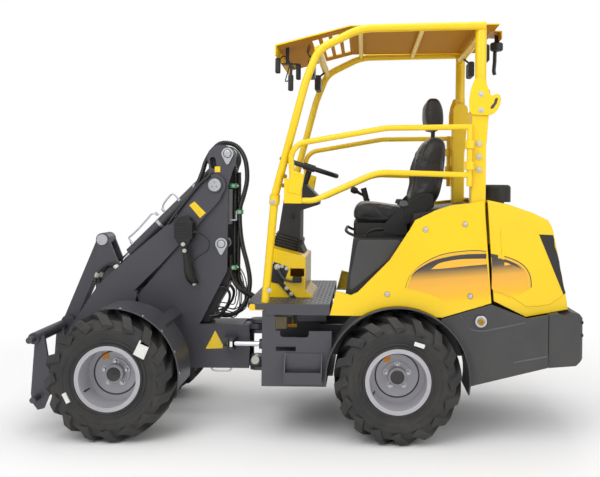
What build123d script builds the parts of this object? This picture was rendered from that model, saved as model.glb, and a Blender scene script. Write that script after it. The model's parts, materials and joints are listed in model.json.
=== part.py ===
from build123d import *
import math
import os

os.makedirs("parts", exist_ok=True)

# Compact wheel loader with an articulated frame. X points forward, Y to the left, Z up.
# The pieces are modelled from the rear axle's middle on the ground, and moved at the end
# so that the origin lies under the middle of the whole machine.

# Stance
TYRE_OD = 664.0
TYRE_WIDTH = 310.0
TRACK = 790.0
PIVOT_AHEAD = 795.0           # articulation pin, ahead of the rear axle
FRONT_AXLE_AHEAD = 685.0      # front axle, ahead of the articulation pin
WHEELBASE = PIVOT_AHEAD + FRONT_AXLE_AHEAD
AXLE_Z = TYRE_OD / 2
TYRE_FRONT_ARCH = 20.0        # gap between a tyre and its front mudguard
TYRE_REAR_ARCH = 36.0         # gap between a tyre and its rear mudguard

# Clearances
RUNNING_GAP = 5.0             # between faces that pass each other
PIN_GAP = 0.6                 # round a pin in its bore
SEAT_GAP = 0.3                # between pieces that seat on each other
CUT_OVER = 10.0               # overrun of cuts

# Wheels
BEAD_DIAMETER = 305.0
RIM_FLANGE_DIAMETER = 337.0
RIM_WIDTH = 280.0
RIM_FLANGE_WALL = 7.0
RIM_BARREL_WALL = 6.0
WHEEL_DISC_WALL = 10.0
HUB_DIAMETER = 150.0
HUB_LENGTH = 60.0
HUB_CAP_DIAMETER = 96.0
HUB_CAP_LENGTH = 36.0
SPINDLE_DIAMETER = 70.0
SPINDLE_DEPTH = 40.0
LUG_HEIGHT = 26.0
LUG_THICKNESS = 34.0
LUG_SWEEP = 118.0
LUG_OVERLAP = 14.0
LUG_COUNT = 16

# Axles
AXLE_DIAMETER = 110.0
AXLE_FLANGE_DIAMETER = 150.0
AXLE_FLANGE_WALL = 24.0
AXLE_BOWL_DIAMETER = 200.0
AXLE_BOWL_LENGTH = 148.0
AXLE_PAD_LENGTH = 120.0
AXLE_PAD_RISE = 62.0          # top of an axle pad above the axle's middle

# Rear frame
FRAME_HALF_WIDTH = 452.0
FRAME_PLATE = 10.0
FRAME_FRONT_X = 707.0
FRAME_REAR_X = 345.0
BELLY_DROP = 50.0             # belly below the axle's middle
SIDE_PLATE_LENGTH = 367.0
SIDE_WINDOW_LENGTH = 150.0
SIDE_WINDOW_HEIGHT = 46.0
SIDE_WINDOW_RADIUS = 18.0
SIDE_SLOT_LENGTH = 104.0
SIDE_SLOT_HEIGHT = 24.0
SPINE_HALF_WIDTH = 80.0
SPINE_LENGTH = 320.0
SPINE_FRONT_X = 722.0
RAIL_HALF_WIDTH = 215.0
RAIL_WALL = 14.0
RAIL_RISE = 228.0             # top of the rails above the axle's middle
CROSS_WALL = 14.0
CROSS_TUBE_WIDTH = 80.0
CROSS_TUBE_HEIGHT = 60.0
REAR_CROSS_X = -413.0

# Articulation
PIVOT_PIN_DIAMETER = 50.0
EAR_RADIUS = 42.0
EAR_WALL = 20.0
TONGUE_WALL = 30.0
UPPER_TONGUE_RISE = 178.0     # middle of the upper tongue above the axle's middle
LOWER_TONGUE_RISE = -35.0
FRONT_WALL_AHEAD = 75.0       # front frame's inner cross wall, ahead of the pin
CHEEK_AHEAD = 35.0            # rear ends of the front frame's side plates

# Steering cylinder, left side
STEER_BASE_X = 450.0
STEER_BASE_Y = 170.0
STEER_EYE_AHEAD = 125.0
STEER_EYE_Y = 160.0
STEER_RISE = 105.0
STEER_BARREL_DIAMETER = 56.0
STEER_ROD_DIAMETER = 28.0
STEER_ROD_SHOWN = 160.0       # from the barrel's end to the rod's eye at rest
STEER_ROD_INSIDE = 166.0      # rod's inner end from the base at rest
STEER_EYE_RADIUS = 24.0
STEER_EYE_WIDTH = 30.0
STEER_PIN_DIAMETER = 25.0
STEER_LUG_WALL = 14.0

# Deck and steps
DECK_RISE = 380.0             # deck surface above the axle's middle
DECK_PROUD = 8.0              # deck's edge beyond the side plates
DECK_FRONT_X = 692.0
DECK_LIP = 57.0
DECK_WALL = 8.0
APRON_LENGTH = 100.0
APRON_HEIGHT = 30.0
APRON_RADIUS = 70.0
STEP_FRONT_X = 587.0
STEP_LENGTH = 196.0
STEP_DEPTH = 50.0
STEP_HEIGHT = 150.0
STEP_BOTTOM_DROP = 26.0
STEP_TREAD_RISE = 30.0
STEP_WALL = 6.0

# Body panels
PANEL_PROUD = 8.0             # side panels beyond the frame's side plates
PANEL_WALL = 8.0
PANEL_RIM = 18.0
PANEL_LENGTH = 840.0          # box that holds the side panel's outline
PANEL_HEIGHT = 620.0
PANEL_REAR_X = -482.0
PANEL_FRONT_SHARE = 0.997
DECK_REAR_X = PANEL_REAR_X + PANEL_LENGTH * PANEL_FRONT_SHARE + SEAT_GAP
PANEL_LOW_RISE = 318.0
COVER_DEPTH = 120.0
COVER_WALL = 8.0
COVER_LENGTH = 560.0
COVER_HEIGHT = 440.0
COVER_REAR_X = -779.0
COVER_LOW_RISE = -38.0
FILLER_DIAMETER = 56.0
FILLER_LENGTH = 9.0
REAR_SEAM = 6.0
RAIL_REAR_X = COVER_REAR_X - REAR_SEAM + CROSS_WALL + SEAT_GAP
WEIGHT_LENGTH = 190.0
WEIGHT_HEIGHT = 300.0
WEIGHT_LOW_RISE = 60.0
WEIGHT_CORNER = 60.0
MUDGUARD_WALL = 6.0
REAR_GUARD_INNER = 246.0
REAR_GUARD_OUTER = 505.0
FRONT_GUARD_INNER = 268.0
FRONT_GUARD_OUTER = 505.0
REAR_GUARD_START = -4.0       # degrees about the axle, from straight ahead
REAR_GUARD_END = 191.0
FRONT_GUARD_START = 83.0
FRONT_GUARD_END = 188.0
FRONT_GUARD_ARM = 41.0

# Hood
HOOD_LENGTH = 440.0
HOOD_HEIGHT = 620.0
HOOD_FRONT_X = -459.0
HOOD_LOW_RISE = 316.0
HOOD_MARGIN = 4.0             # hood's sides inside the frame's width
HOOD_TAPER = 50.0
HOOD_WALL = 8.0
HOOD_PIVOT_X = -866.0
HOOD_PIVOT_RISE = 372.0
HOOD_PIVOT_DIAMETER = 24.0
HOOD_KNUCKLE_RADIUS = 18.0
HOOD_KNUCKLE_WALL = 14.0
HOOD_KNUCKLE_Y = 300.0
GRILLE_WALL = 10.0
GRILLE_BAR = 12.0
GRILLE_COUNT = 9
GRILLE_HALF_WIDTH = 330.0
GRILLE_HEIGHT = 330.0
GRILLE_LOW_RISE = 470.0
SIDE_BAR_COUNT = 4
CLEANER_DIAMETER = 165.0
CLEANER_HEIGHT = 100.0
CLEANER_X = -588.0
CLEANER_STEM_DIAMETER = 90.0
CLEANER_RISE = 912.0
ENGINE_LENGTH = 480.0
ENGINE_WIDTH = 380.0
ENGINE_HEIGHT = 365.0
ENGINE_FRONT_X = -262.0

# Seat
SEAT_BOX_MARGIN = 27.0
SEAT_BOX_FRONT_X = 282.0
SEAT_BOX_LENGTH = 722.0
SEAT_BOX_HEIGHT = 520.0
SEAT_BOX_WALL = 10.0
SEAT_HALF_WIDTH = 235.0
SEAT_PAN_HEIGHT = 74.0
SEAT_PAN_RISE = 719.0
SEAT_PAN_LENGTH = 300.0
SEAT_PAN_REAR_X = -60.0
CUSHION_HEIGHT = 112.0
CUSHION_LENGTH = 312.0
CUSHION_REAR_X = -52.0
BACK_HEIGHT = 640.0
BACK_LENGTH = 210.0
BACK_REAR_X = -268.0
BACK_LOW_RISE = 866.0
SEAT_EDGE = 30.0
RECLINER_WALL = 8.0
SUSPENSION_HALF_WIDTH = 160.0
ARMREST_WIDTH = 110.0
ARMREST_LENGTH = 240.0
ARMREST_HEIGHT = 60.0
ARMREST_FRONT_X = 200.0
ARMREST_OUTER_Y = 360.0
JOYSTICK_DIAMETER = 36.0
JOYSTICK_HEIGHT = 130.0

# Steering console
DASH_RIGHT = -150.0
DASH_LEFT = 250.0
DASH_LENGTH = 250.0
DASH_HEIGHT = 275.0
DASH_REAR_X = 458.0
DASH_WALL = 5.0
DASH_WINDOW_LENGTH = 76.0
DASH_WINDOW_HEIGHT = 44.0
COLUMN_HALF_WIDTH = 105.0
COLUMN_LENGTH = 250.0
COLUMN_HEIGHT = 410.0
COLUMN_REAR_X = 440.0
COLUMN_LOW_RISE = 598.0
STEERING_WHEEL_DIAMETER = 360.0
STEERING_GRIP = 28.0
STEERING_HUB_DIAMETER = 70.0
STEERING_HUB_HEIGHT = 40.0
STEERING_SPOKE = 22.0
STEERING_X = 506.0
STEERING_RISE = 1101.0
STEERING_TILT = 17.0          # degrees
SHAFT_DIAMETER = 34.0
SHAFT_LENGTH = 95.0

# Protective frame and canopy
FRONT_POST_DIAMETER = 42.0
FRONT_POST_MARGIN = 32.0      # post's middle inside the frame's width
FRONT_POST_FOOT_X = 697.0
FRONT_POST_TOP_X = 651.0
FRONT_POST_TOP_RISE = 944.0
POST_COLLAR_DIAMETER = 54.0
POST_COLLAR_HEIGHT = 50.0
REAR_POST_WIDTH = 78.0
REAR_POST_MARGIN = 56.0
REAR_POST_WALL = 6.0
REAR_POST_TOP_RISE = 1378.0
UPPER_POST_DIAMETER = 60.0
CANOPY_PIVOT_X = -424.0
CANOPY_PIVOT_RISE = 1482.0
FOLD_PLATE_WALL = 10.0
FOLD_PLATE_RADIUS = 46.0
FOLD_PIN_DIAMETER = 26.0
LOCK_BOLT_DROP = 81.0
ROOF_TUBE_DIAMETER = 42.0
ROOF_REAR_X = -445.0
ROOF_RISE = 900.0
ROOF_WALL = 6.0
ROOF_SLOT_WIDTH = 34.0
ROOF_SLOT_COUNT = 4
LAMP_WIDTH = 104.0
LAMP_HEIGHT = 92.0
LAMP_DEPTH = 36.0

# Side guards
GUARD_TUBE_DIAMETER = 30.0
GUARD_HINGE_X = -362.0
GUARD_LENGTH = 960.0
GUARD_RISE = 1000.0
GUARD_DROP = 245.0
GUARD_TOP_BEND = 90.0         # front bend of the upper tube
GUARD_TOP_CURVE = 300.0
GUARD_LOW_BEND = 120.0        # front bend of the lower tube
GUARD_LOW_CURVE = 250.0
LATCH_LENGTH = 90.0
LATCH_HEIGHT = 130.0
LATCH_WIDTH = 40.0
KNUCKLE_DIAMETER = 34.0
KNUCKLE_HEIGHT = 44.0

# Front frame and tower
TOWER_LENGTH = 710.0
TOWER_HEIGHT = 1273.0
TOWER_OUT = 96.0
TOWER_PLATE = 16.0
TOWER_WALL = 12.0
TOWER_HEAD_RADIUS = 81.0
BOX_RISE = 198.0              # top of the front frame's rear box above the axle's middle

# Loader linkage, from the front axle's middle
BOOM_PIVOT = (-448.0, 992.0)
TILT_BASE = (-515.0, 1172.0)
LIFT_BASE = (-485.0, 657.0)
LIFT_EYE = (35.0, 316.0)
LEVER_PIVOT = (205.0, 336.0)
LEVER_RISE = 335.0            # lever's upper pin above its pivot
LEVER_LEAN = 3.0              # lever's upper pin ahead of its pivot
CARRIER_UPPER = (400.0, 198.0)

# Boom
BOOM_INNER = 102.0
BOOM_PLATE = 15.0
BOOM_LENGTH = 960.0
BOOM_HEIGHT = 1245.0
BOOM_HEEL_RADIUS = 62.0
BOOM_TIP_RADIUS = 45.0
BOOM_PIN_DIAMETER = 50.0
BOOM_HEAD_DIAMETER = 84.0
BOOM_HEAD_WALL = 8.0
BOOM_CROSS_DIAMETER = 70.0
LUG_RADIUS = 36.0

# Lever, link and carrier
LEVER_OUT = 57.0
LEVER_PLATE = 12.0
LINK_OUT = 42.0
LINK_WIDTH = 70.0
LINK_EYE_RADIUS = 38.0
LEVER_PIN_DIAMETER = 40.0
PIN_HEAD_DIAMETER = 62.0
PIN_HEAD_WALL = 8.0
CARRIER_HALF_WIDTH = 400.0
CARRIER_PLATE = 15.0
CARRIER_TUBE_DIAMETER = 60.0
CARRIER_STUB_DIAMETER = 34.0
CARRIER_STUB_LENGTH = 50.0
CARRIER_HEIGHT = 400.0
CARRIER_DEPTH = 97.0
CARRIER_BAR_SHARE = 0.82      # bar's middle along the carrier's depth
CARRIER_LOW_DROP = 203.0      # carrier's lower edge below the axle's middle
CARRIER_REAR_AHEAD = 352.0
CARRIER_EAR_RADIUS = 42.0
LOCK_PIN_DIAMETER = 32.0
LOCK_PIN_LENGTH = 60.0

# Lift and tilt cylinders
LIFT_BARREL_DIAMETER = 76.0
LIFT_ROD_DIAMETER = 40.0
LIFT_ROD_SHOWN = 62.0         # from the barrel's end to the rod's eye at rest
LIFT_ROD_INSIDE = 68.0
TILT_BARREL_DIAMETER = 62.0
TILT_ROD_DIAMETER = 32.0
TILT_ROD_SHOWN = 105.5
TILT_ROD_INSIDE = 560.0
CYLINDER_WALL = 7.0
CYLINDER_EYE_RADIUS = 34.0
CYLINDER_EYE_WIDTH = 50.0
CYLINDER_PIN_DIAMETER = 36.0
RETAINER_WALL = 5.0
RETAINER_RADIUS = 34.0
RETAINER_REACH = 62.0
WORK_LAMP_WIDTH = 50.0
WORK_LAMP_DEPTH = 100.0
WORK_LAMP_HEIGHT = 120.0
WORK_LAMP_STEM = 24.0
WORK_LAMP_FOOT_BEND = 22.0
WORK_LAMP_STEM_BEND = 60.0
WORK_LAMP_X = 1190.0
WORK_LAMP_Z = 1070.0

# Widths, places and lengths that follow from the ones above
PANEL_OUT = FRAME_HALF_WIDTH + PANEL_PROUD
DECK_HALF_WIDTH = FRAME_HALF_WIDTH + DECK_PROUD
WEIGHT_HALF_WIDTH = FRAME_HALF_WIDTH
GUARD_Y = FRAME_HALF_WIDTH
HOOD_HALF_WIDTH = FRAME_HALF_WIDTH - HOOD_MARGIN
SEAT_BOX_HALF_WIDTH = FRAME_HALF_WIDTH - SEAT_BOX_MARGIN
FRONT_POST_Y = FRAME_HALF_WIDTH - FRONT_POST_MARGIN
REAR_POST_Y = FRAME_HALF_WIDTH - REAR_POST_MARGIN
ROOF_TUBE_Y = FRONT_POST_Y
ROOF_LENGTH = FRONT_POST_TOP_X - ROOF_REAR_X
ROOF_HALF_WIDTH = ROOF_TUBE_Y - ROOF_TUBE_DIAMETER / 2 - SEAT_GAP
LIFT_BARREL_LENGTH = math.dist(LIFT_BASE, LIFT_EYE) - LIFT_ROD_SHOWN
TILT_BARREL_LENGTH = math.dist(BOOM_PIVOT, LEVER_PIVOT) - TILT_ROD_SHOWN
STEER_BARREL_LENGTH = math.dist(
    (STEER_BASE_X, STEER_BASE_Y), (PIVOT_AHEAD + STEER_EYE_AHEAD, STEER_EYE_Y)) - STEER_ROD_SHOWN
MACHINE_FRONT = WHEELBASE + CARRIER_REAR_AHEAD + CARRIER_DEPTH * CARRIER_BAR_SHARE + CARRIER_TUBE_DIAMETER / 2
MACHINE_REAR = COVER_REAR_X - REAR_SEAM - WEIGHT_LENGTH
REAR_AXLE_X = -(MACHINE_FRONT + MACHINE_REAR) / 2

# Outlines as (x, z) shares of the box that holds them, from its rear lower corner
TOWER_SHARES = [
    (0.0, 0.0), (0.0, 0.195), (0.40, 0.195), (0.184, 0.434), (0.184, 0.815), (0.14, 0.905),
    (0.239, 0.94), (0.34, 0.905), (0.345, 0.82),
    (0.562, 0.548), (0.902, 0.32), (0.873, 0.242), (1.0, 0.218), (1.0, 0.088), (0.80, 0.088),
    (0.70, 0.0),
]
BOOM_SHARES = [
    (0.11, 0.982), (0.306, 0.789), (0.557, 0.623), (0.748, 0.486), (0.905, 0.30), (0.935, 0.25),
    (0.984, 0.205), (0.992, 0.04), (0.898, 0.04), (0.865, 0.173), (0.78, 0.30),
    (0.656, 0.398), (0.55, 0.45), (0.382, 0.581), (0.174, 0.755), (0.085, 0.833),
    (0.035, 0.878), (0.012, 0.92),
]
PANEL_SHARES = [
    (0.0, 0.125), (0.05, 0.985), (0.128, 0.96), (0.25, 0.942), (0.35, 0.896), (0.446, 0.83),
    (0.475, 0.812), (0.502, 0.745), (0.63, 0.475), (0.825, 0.205), (0.867, 0.178),
    (0.91, 0.194), (0.96, 0.21), (PANEL_FRONT_SHARE, 0.008), (0.30, 0.0),
]
COVER_SHARES = [
    (0.99, 0.80), (0.53, 0.968), (0.195, 0.805), (0.0, 0.85), (0.0, 0.228), (0.72, 0.0),
    (0.99, 0.20),
]
WEIGHT_REAR_SHARES = [
    (1.0, 0.0), (0.25, 0.04), (0.0, 0.16), (0.03, 0.85), (0.16, 0.94), (0.45, 0.98), (1.0, 0.92),
]
HOOD_SHARES = [
    (1.0, 0.99), (0.913, 0.142), (0.52, 0.006), (0.004, 0.067), (0.035, 0.194), (0.19, 0.714),
    (0.215, 0.77), (0.26, 0.823), (0.45, 0.885), (0.745, 0.955),
]
SEAT_BOX_SHARES = [
    (1.0, 0.0), (0.94, 0.65), (0.52, 0.65), (0.50, 0.90), (0.26, 0.955), (0.04, 1.0),
    (0.0, 1.0), (0.0, 0.84), (0.30, 0.50), (0.44, 0.0),
]
DASH_SHARES = [(0.0, 0.0), (0.17, 0.14), (0.17, 0.81), (0.97, 1.0), (0.97, 0.0)]
COLUMN_SHARES = [
    (0.30, 0.0), (0.42, 0.16), (0.42, 0.62), (0.02, 0.70), (0.0, 0.80), (0.30, 0.98),
    (0.62, 1.0), (0.78, 0.86), (0.92, 0.30), (0.96, 0.08),
]
BACK_SHARES = [
    (0.42, 0.0), (0.0, 0.10), (0.02, 0.48), (0.14, 0.78), (0.16, 0.97), (0.26, 1.0),
    (0.52, 0.98), (0.60, 0.72), (0.64, 0.50), (0.84, 0.20), (1.0, 0.06),
]
CARRIER_SHARES = [
    (0.32, 1.0), (0.0, 0.54), (0.0, 0.20), (0.30, 0.02), (0.62, 0.0), (0.93, 0.10),
    (1.0, 0.22), (0.82, 0.92),
]
HOOD_SIDE_SHARES = [(0.39, 0.69), (0.22, 0.67), (0.16, 0.50), (0.13, 0.34), (0.075, 0.18), (0.39, 0.17)]
TOWER_HEAD_SHARE = 0.239      # middle of the tower's round head along its length


def rise(height):
    """Height above the ground of a place that is given above the axles' middle."""
    return AXLE_Z + height


def ahead(place):
    """Place (x, z) from the front axle's middle, in the model's axes."""
    return (WHEELBASE + place[0], rise(place[1]))


def from_shares(shares, x_low, z_low, length, height):
    """Corners (x, z) of an outline given in shares of a box."""
    return [(x_low + a * length, z_low + b * height) for a, b in shares]


def flat(corners):
    """Flat face of an outline, wound anticlockwise whichever way its corners run."""
    area = 0.0
    for (a, b), (c, d) in zip(corners, corners[1:] + corners[:1]):
        area += a * d - c * b
    if area < 0:
        corners = corners[::-1]
    return Polygon(*corners, align=None)


def side_plate(corners, y_low, y_high):
    """Plate between two Y places with a side-view outline of (x, z) corners."""
    return Pos(0, y_high, 0) * extrude(Plane.XZ * flat(corners), amount=y_high - y_low)


def cross_bar(place, radius, y_low, y_high):
    """Round bar along Y at an (x, z) place."""
    middle = Pos(place[0], (y_low + y_high) / 2, place[1])
    return middle * Rot(90, 0, 0) * Cylinder(radius, y_high - y_low)


def block(x_low, x_high, y_low, y_high, z_low, z_high):
    """Box between two corners."""
    middle = Pos((x_low + x_high) / 2, (y_low + y_high) / 2, (z_low + z_high) / 2)
    return middle * Box(x_high - x_low, y_high - y_low, z_high - z_low)


def post(x, y, z_low, z_high, radius):
    """Upright round bar."""
    return Pos(x, y, (z_low + z_high) / 2) * Cylinder(radius, z_high - z_low)


def round_bar(start, end, radius):
    """Round bar between two points."""
    axis = Vector(*end) - Vector(*start)
    face = Plane(origin=start, z_dir=axis) * Circle(radius)
    return extrude(face, amount=axis.length)


def bent_tube(points, diameter, bends):
    """Round tube along straight runs joined by arcs."""
    path = FilletPolyline(*points, radius=bends)
    return sweep((path ^ 0) * Circle(diameter / 2), path)


def both_sides(solid):
    """A piece and its mirror image on the other side of the machine."""
    return solid + mirror(solid, Plane.XZ)


def arch(radius, x, y_low, y_high):
    """Round cutter about an axle."""
    return cross_bar((x, AXLE_Z), radius, y_low, y_high)


def write(name, solid):
    """Write one piece, moved to the finished part's origin."""
    export_step(Pos(REAR_AXLE_X, 0, 0) * solid, f"parts/{name}.step")


def dish(corners, y_out, depth, wall, cutter=None):
    """Moulded side panel: an outer wall with a rim turned inwards all round."""
    face = flat(corners)
    inner = offset(face, -wall, kind=Kind.INTERSECTION)
    body = Pos(0, y_out, 0) * extrude(Plane.XZ * face, amount=depth)
    hollow = Pos(0, y_out - wall, 0) * extrude(Plane.XZ * inner, amount=depth)
    if cutter is None:
        return body - hollow
    radius, x = cutter
    rim = arch(radius + wall, x, y_out - depth, y_out - wall)
    opening = arch(radius, x, y_out - depth - CUT_OVER, y_out + CUT_OVER)
    return body - (hollow - rim) - opening


# Wheels
def tyre():
    """Lugged tyre about the Y axis with slanted bars that wrap over its shoulders."""
    half = TYRE_WIDTH / 2
    outer = TYRE_OD / 2
    bead = BEAD_DIAMETER / 2 + SEAT_GAP
    flange = RIM_FLANGE_DIAMETER / 2 + SEAT_GAP
    wall_y = RIM_WIDTH / 2 - RIM_FLANGE_WALL - SEAT_GAP
    crown = outer - LUG_HEIGHT
    middle = (flange + crown) / 2
    half_profile = [
        (wall_y, bead), (wall_y, flange), (half - LUG_OVERLAP / 2, middle),
        (half - LUG_OVERLAP / 2, crown - LUG_HEIGHT * 2), (half - LUG_HEIGHT, crown - LUG_HEIGHT / 3),
        (0, crown),
    ]
    profile = half_profile + [(-y, r) for y, r in reversed(half_profile[:-1])]
    carcass = revolve(Plane.YZ * flat(profile), Axis.Y)
    shoulder = [
        (0, outer), (half / 3, outer), (half - LUG_HEIGHT * 1.2, outer - LUG_HEIGHT / 5), (half, crown - LUG_HEIGHT),
        (half, crown - LUG_HEIGHT * 2.6), (0, crown - LUG_HEIGHT * 2.6),
    ]
    bars = []
    for side in (1, -1):
        for index in range(LUG_COUNT):
            turn = 360 / LUG_COUNT * (index + (0 if side > 0 else 0.5))
            foot = flat([
                (LUG_THICKNESS / 2, -LUG_OVERLAP * side),
                (-LUG_THICKNESS / 2, -LUG_OVERLAP * side),
                (-LUG_THICKNESS / 2 - LUG_SWEEP, half * side),
                (LUG_THICKNESS * 0.9 - LUG_SWEEP, half * side)])
            bar = extrude(Pos(0, 0, middle) * foot, amount=outer - middle + LUG_HEIGHT)
            bars.append(Rot(0, turn, 0) * bar)
    envelope = [(y, r) for y, r in shoulder] + [(-y, r) for y, r in reversed(shoulder[1:-1])]
    ring = revolve(Plane.YZ * flat(envelope), Axis.Y)
    return carcass + [bar & ring for bar in bars]


def rim():
    """Drop-centre rim with a thick disc, a hub bored for the spindle, and its cap."""
    flange = RIM_FLANGE_DIAMETER / 2
    bead = BEAD_DIAMETER / 2
    half = RIM_WIDTH / 2
    bore = bead - RIM_BARREL_WALL
    profile = [
        (half, bore), (half, flange), (half - RIM_FLANGE_WALL, flange),
        (half - RIM_FLANGE_WALL, bead), (-half + RIM_FLANGE_WALL, bead),
        (-half + RIM_FLANGE_WALL, flange), (-half, flange), (-half, bore),
    ]
    barrel = revolve(Plane.YZ * flat(profile), Axis.Y)
    disc = cross_bar((0, 0), bore + RIM_BARREL_WALL / 2, -WHEEL_DISC_WALL / 2, WHEEL_DISC_WALL / 2)
    hub = cross_bar((0, 0), HUB_DIAMETER / 2, -HUB_LENGTH / 2, WHEEL_DISC_WALL)
    cap = cross_bar((0, 0), HUB_CAP_DIAMETER / 2, 0, WHEEL_DISC_WALL + HUB_CAP_LENGTH)
    cap = chamfer(cap.edges().group_by(Axis.Y)[-1], HUB_CAP_LENGTH / 4)
    spindle = cross_bar(
        (0, 0), SPINDLE_DIAMETER / 2 + PIN_GAP / 2, -HUB_LENGTH / 2 - CUT_OVER,
        -HUB_LENGTH / 2 + SPINDLE_DEPTH)
    return barrel + disc + hub + cap - spindle


def wheels():
    """The four wheels, each a tyre and a rim with its hub cap outwards."""
    rubber = tyre()
    metal = rim()
    for end, x in (("rear", 0.0), ("front", WHEELBASE)):
        for side, sign in (("left", 1), ("right", -1)):
            place = Pos(x, sign * TRACK / 2, AXLE_Z)
            turn = Rot(0, 0, 0 if sign > 0 else 180)
            write(f"tyre_{end}_{side}", place * turn * rubber)
            write(f"rim_{end}_{side}", place * turn * metal)


def axle(x):
    """Rigid axle beam with a bowl, wheel flanges, spindles and pads for the frame."""
    hub_face = TRACK / 2 - HUB_LENGTH / 2
    flange_out = hub_face - RUNNING_GAP
    beam = cross_bar((x, AXLE_Z), AXLE_DIAMETER / 2, -flange_out, flange_out)
    bowl = cross_bar((x, AXLE_Z), AXLE_BOWL_DIAMETER / 2, -AXLE_BOWL_LENGTH / 2, AXLE_BOWL_LENGTH / 2)
    bowl = chamfer(bowl.edges().filter_by(GeomType.CIRCLE), AXLE_BOWL_LENGTH / 5)
    flange = cross_bar(
        (x, AXLE_Z), AXLE_FLANGE_DIAMETER / 2, flange_out - AXLE_FLANGE_WALL, flange_out)
    spindle = cross_bar(
        (x, AXLE_Z), SPINDLE_DIAMETER / 2, flange_out - AXLE_FLANGE_WALL,
        hub_face + SPINDLE_DEPTH - RUNNING_GAP)
    return beam + bowl + both_sides(flange + spindle)


def axle_pad(x, y_middle, wall):
    """Block that carries the frame on the axle beam."""
    pad = block(
        x - AXLE_PAD_LENGTH / 2, x + AXLE_PAD_LENGTH / 2, y_middle - wall, y_middle + wall,
        AXLE_Z, rise(AXLE_PAD_RISE))
    return both_sides(pad)


# Rear frame
def ear(x_root, z_middle, wall):
    """Level hinge plate with a round end about the articulation pin."""
    tongue = block(
        min(x_root, PIVOT_AHEAD), max(x_root, PIVOT_AHEAD), -EAR_RADIUS, EAR_RADIUS,
        z_middle - wall / 2, z_middle + wall / 2)
    return tongue + post(PIVOT_AHEAD, 0, z_middle - wall / 2, z_middle + wall / 2, EAR_RADIUS)


def hinge_fork(z_tongue):
    """Pair of ears above and below a tongue, with the pin through them."""
    lift = TONGUE_WALL / 2 + RUNNING_GAP + EAR_WALL / 2
    ears = ear(SPINE_FRONT_X, z_tongue + lift, EAR_WALL) + ear(SPINE_FRONT_X, z_tongue - lift, EAR_WALL)
    reach = lift + EAR_WALL / 2
    pin = post(PIVOT_AHEAD, 0, z_tongue - reach, z_tongue + reach, PIVOT_PIN_DIAMETER / 2)
    return ears + pin


def rear_frame():
    """Welded rear frame: side plates, belly, spine with hinge forks, rails and cross members."""
    belly = rise(-BELLY_DROP)
    under_deck = rise(DECK_RISE - DECK_WALL)
    top = rise(DECK_RISE - DECK_LIP)
    shoulder = rise(RAIL_RISE)
    side = [
        (FRAME_REAR_X, belly), (FRAME_FRONT_X, belly), (FRAME_FRONT_X, under_deck),
        (FRAME_FRONT_X - SIDE_PLATE_LENGTH * 0.16, under_deck),
        (FRAME_FRONT_X - SIDE_PLATE_LENGTH * 0.20, shoulder + FRAME_PLATE),
        (FRAME_REAR_X, shoulder + FRAME_PLATE),
    ]
    plate = side_plate(side, FRAME_HALF_WIDTH - FRAME_PLATE, FRAME_HALF_WIDTH)
    window_x = FRAME_FRONT_X - SIDE_PLATE_LENGTH * 0.46
    notch = block(
        window_x - SIDE_WINDOW_LENGTH / 2, window_x + SIDE_WINDOW_LENGTH / 2,
        FRAME_HALF_WIDTH - FRAME_PLATE - CUT_OVER, FRAME_HALF_WIDTH + CUT_OVER,
        shoulder - SIDE_WINDOW_HEIGHT / 2, top)
    notch = fillet(notch.edges().filter_by(Axis.Y).group_by(Axis.Z)[0], SIDE_WINDOW_RADIUS)
    slot_x = FRAME_FRONT_X - SIDE_PLATE_LENGTH * 0.34
    slot_z = shoulder - SIDE_WINDOW_HEIGHT * 1.8
    slot = block(
        slot_x - SIDE_SLOT_LENGTH / 2, slot_x + SIDE_SLOT_LENGTH / 2,
        FRAME_HALF_WIDTH - FRAME_PLATE - CUT_OVER, FRAME_HALF_WIDTH + CUT_OVER,
        slot_z - SIDE_SLOT_HEIGHT / 2, slot_z + SIDE_SLOT_HEIGHT / 2)
    sides = both_sides(plate - notch - slot)
    floor = block(FRAME_REAR_X, FRAME_FRONT_X, -FRAME_HALF_WIDTH, FRAME_HALF_WIDTH, belly, belly + FRAME_PLATE)
    arch_cut = both_sides(arch(
        AXLE_Z + TYRE_REAR_ARCH + MUDGUARD_WALL + SEAT_GAP, 0, REAR_GUARD_INNER - RUNNING_GAP,
        FRAME_HALF_WIDTH + CUT_OVER))
    spine_rear = SPINE_FRONT_X - SPINE_LENGTH
    spine = block(spine_rear, SPINE_FRONT_X, -SPINE_HALF_WIDTH, SPINE_HALF_WIDTH, belly, under_deck)
    spine_hollow = block(
        spine_rear - CUT_OVER, SPINE_FRONT_X - CROSS_WALL, CROSS_WALL - SPINE_HALF_WIDTH,
        SPINE_HALF_WIDTH - CROSS_WALL, belly + FRAME_PLATE, under_deck - CROSS_WALL)
    rail_low = rise(AXLE_PAD_RISE)
    rail = block(
        RAIL_REAR_X, spine_rear + CROSS_WALL, RAIL_HALF_WIDTH - RAIL_WALL, RAIL_HALF_WIDTH,
        rail_low, shoulder)
    spread = block(
        spine_rear, spine_rear + CROSS_WALL, -RAIL_HALF_WIDTH, RAIL_HALF_WIDTH, belly, shoulder)
    cross = block(
        REAR_CROSS_X - CROSS_TUBE_WIDTH / 2, REAR_CROSS_X + CROSS_TUBE_WIDTH / 2,
        -FRAME_HALF_WIDTH + CROSS_WALL, FRAME_HALF_WIDTH - CROSS_WALL,
        shoulder, shoulder + CROSS_TUBE_HEIGHT)
    tail = block(
        RAIL_REAR_X - CROSS_WALL, RAIL_REAR_X, -RAIL_HALF_WIDTH, RAIL_HALF_WIDTH, rail_low, shoulder)
    forks = hinge_fork(rise(UPPER_TONGUE_RISE)) + hinge_fork(rise(LOWER_TONGUE_RISE))
    steer_z = rise(STEER_RISE)
    steer_lug = steer_fork(steer_z, STEER_BASE_X, STEER_BASE_Y)
    frame = (sides + floor - arch_cut) + (spine - spine_hollow) + both_sides(rail) + spread
    return frame + cross + tail + forks + steer_lug


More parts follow.
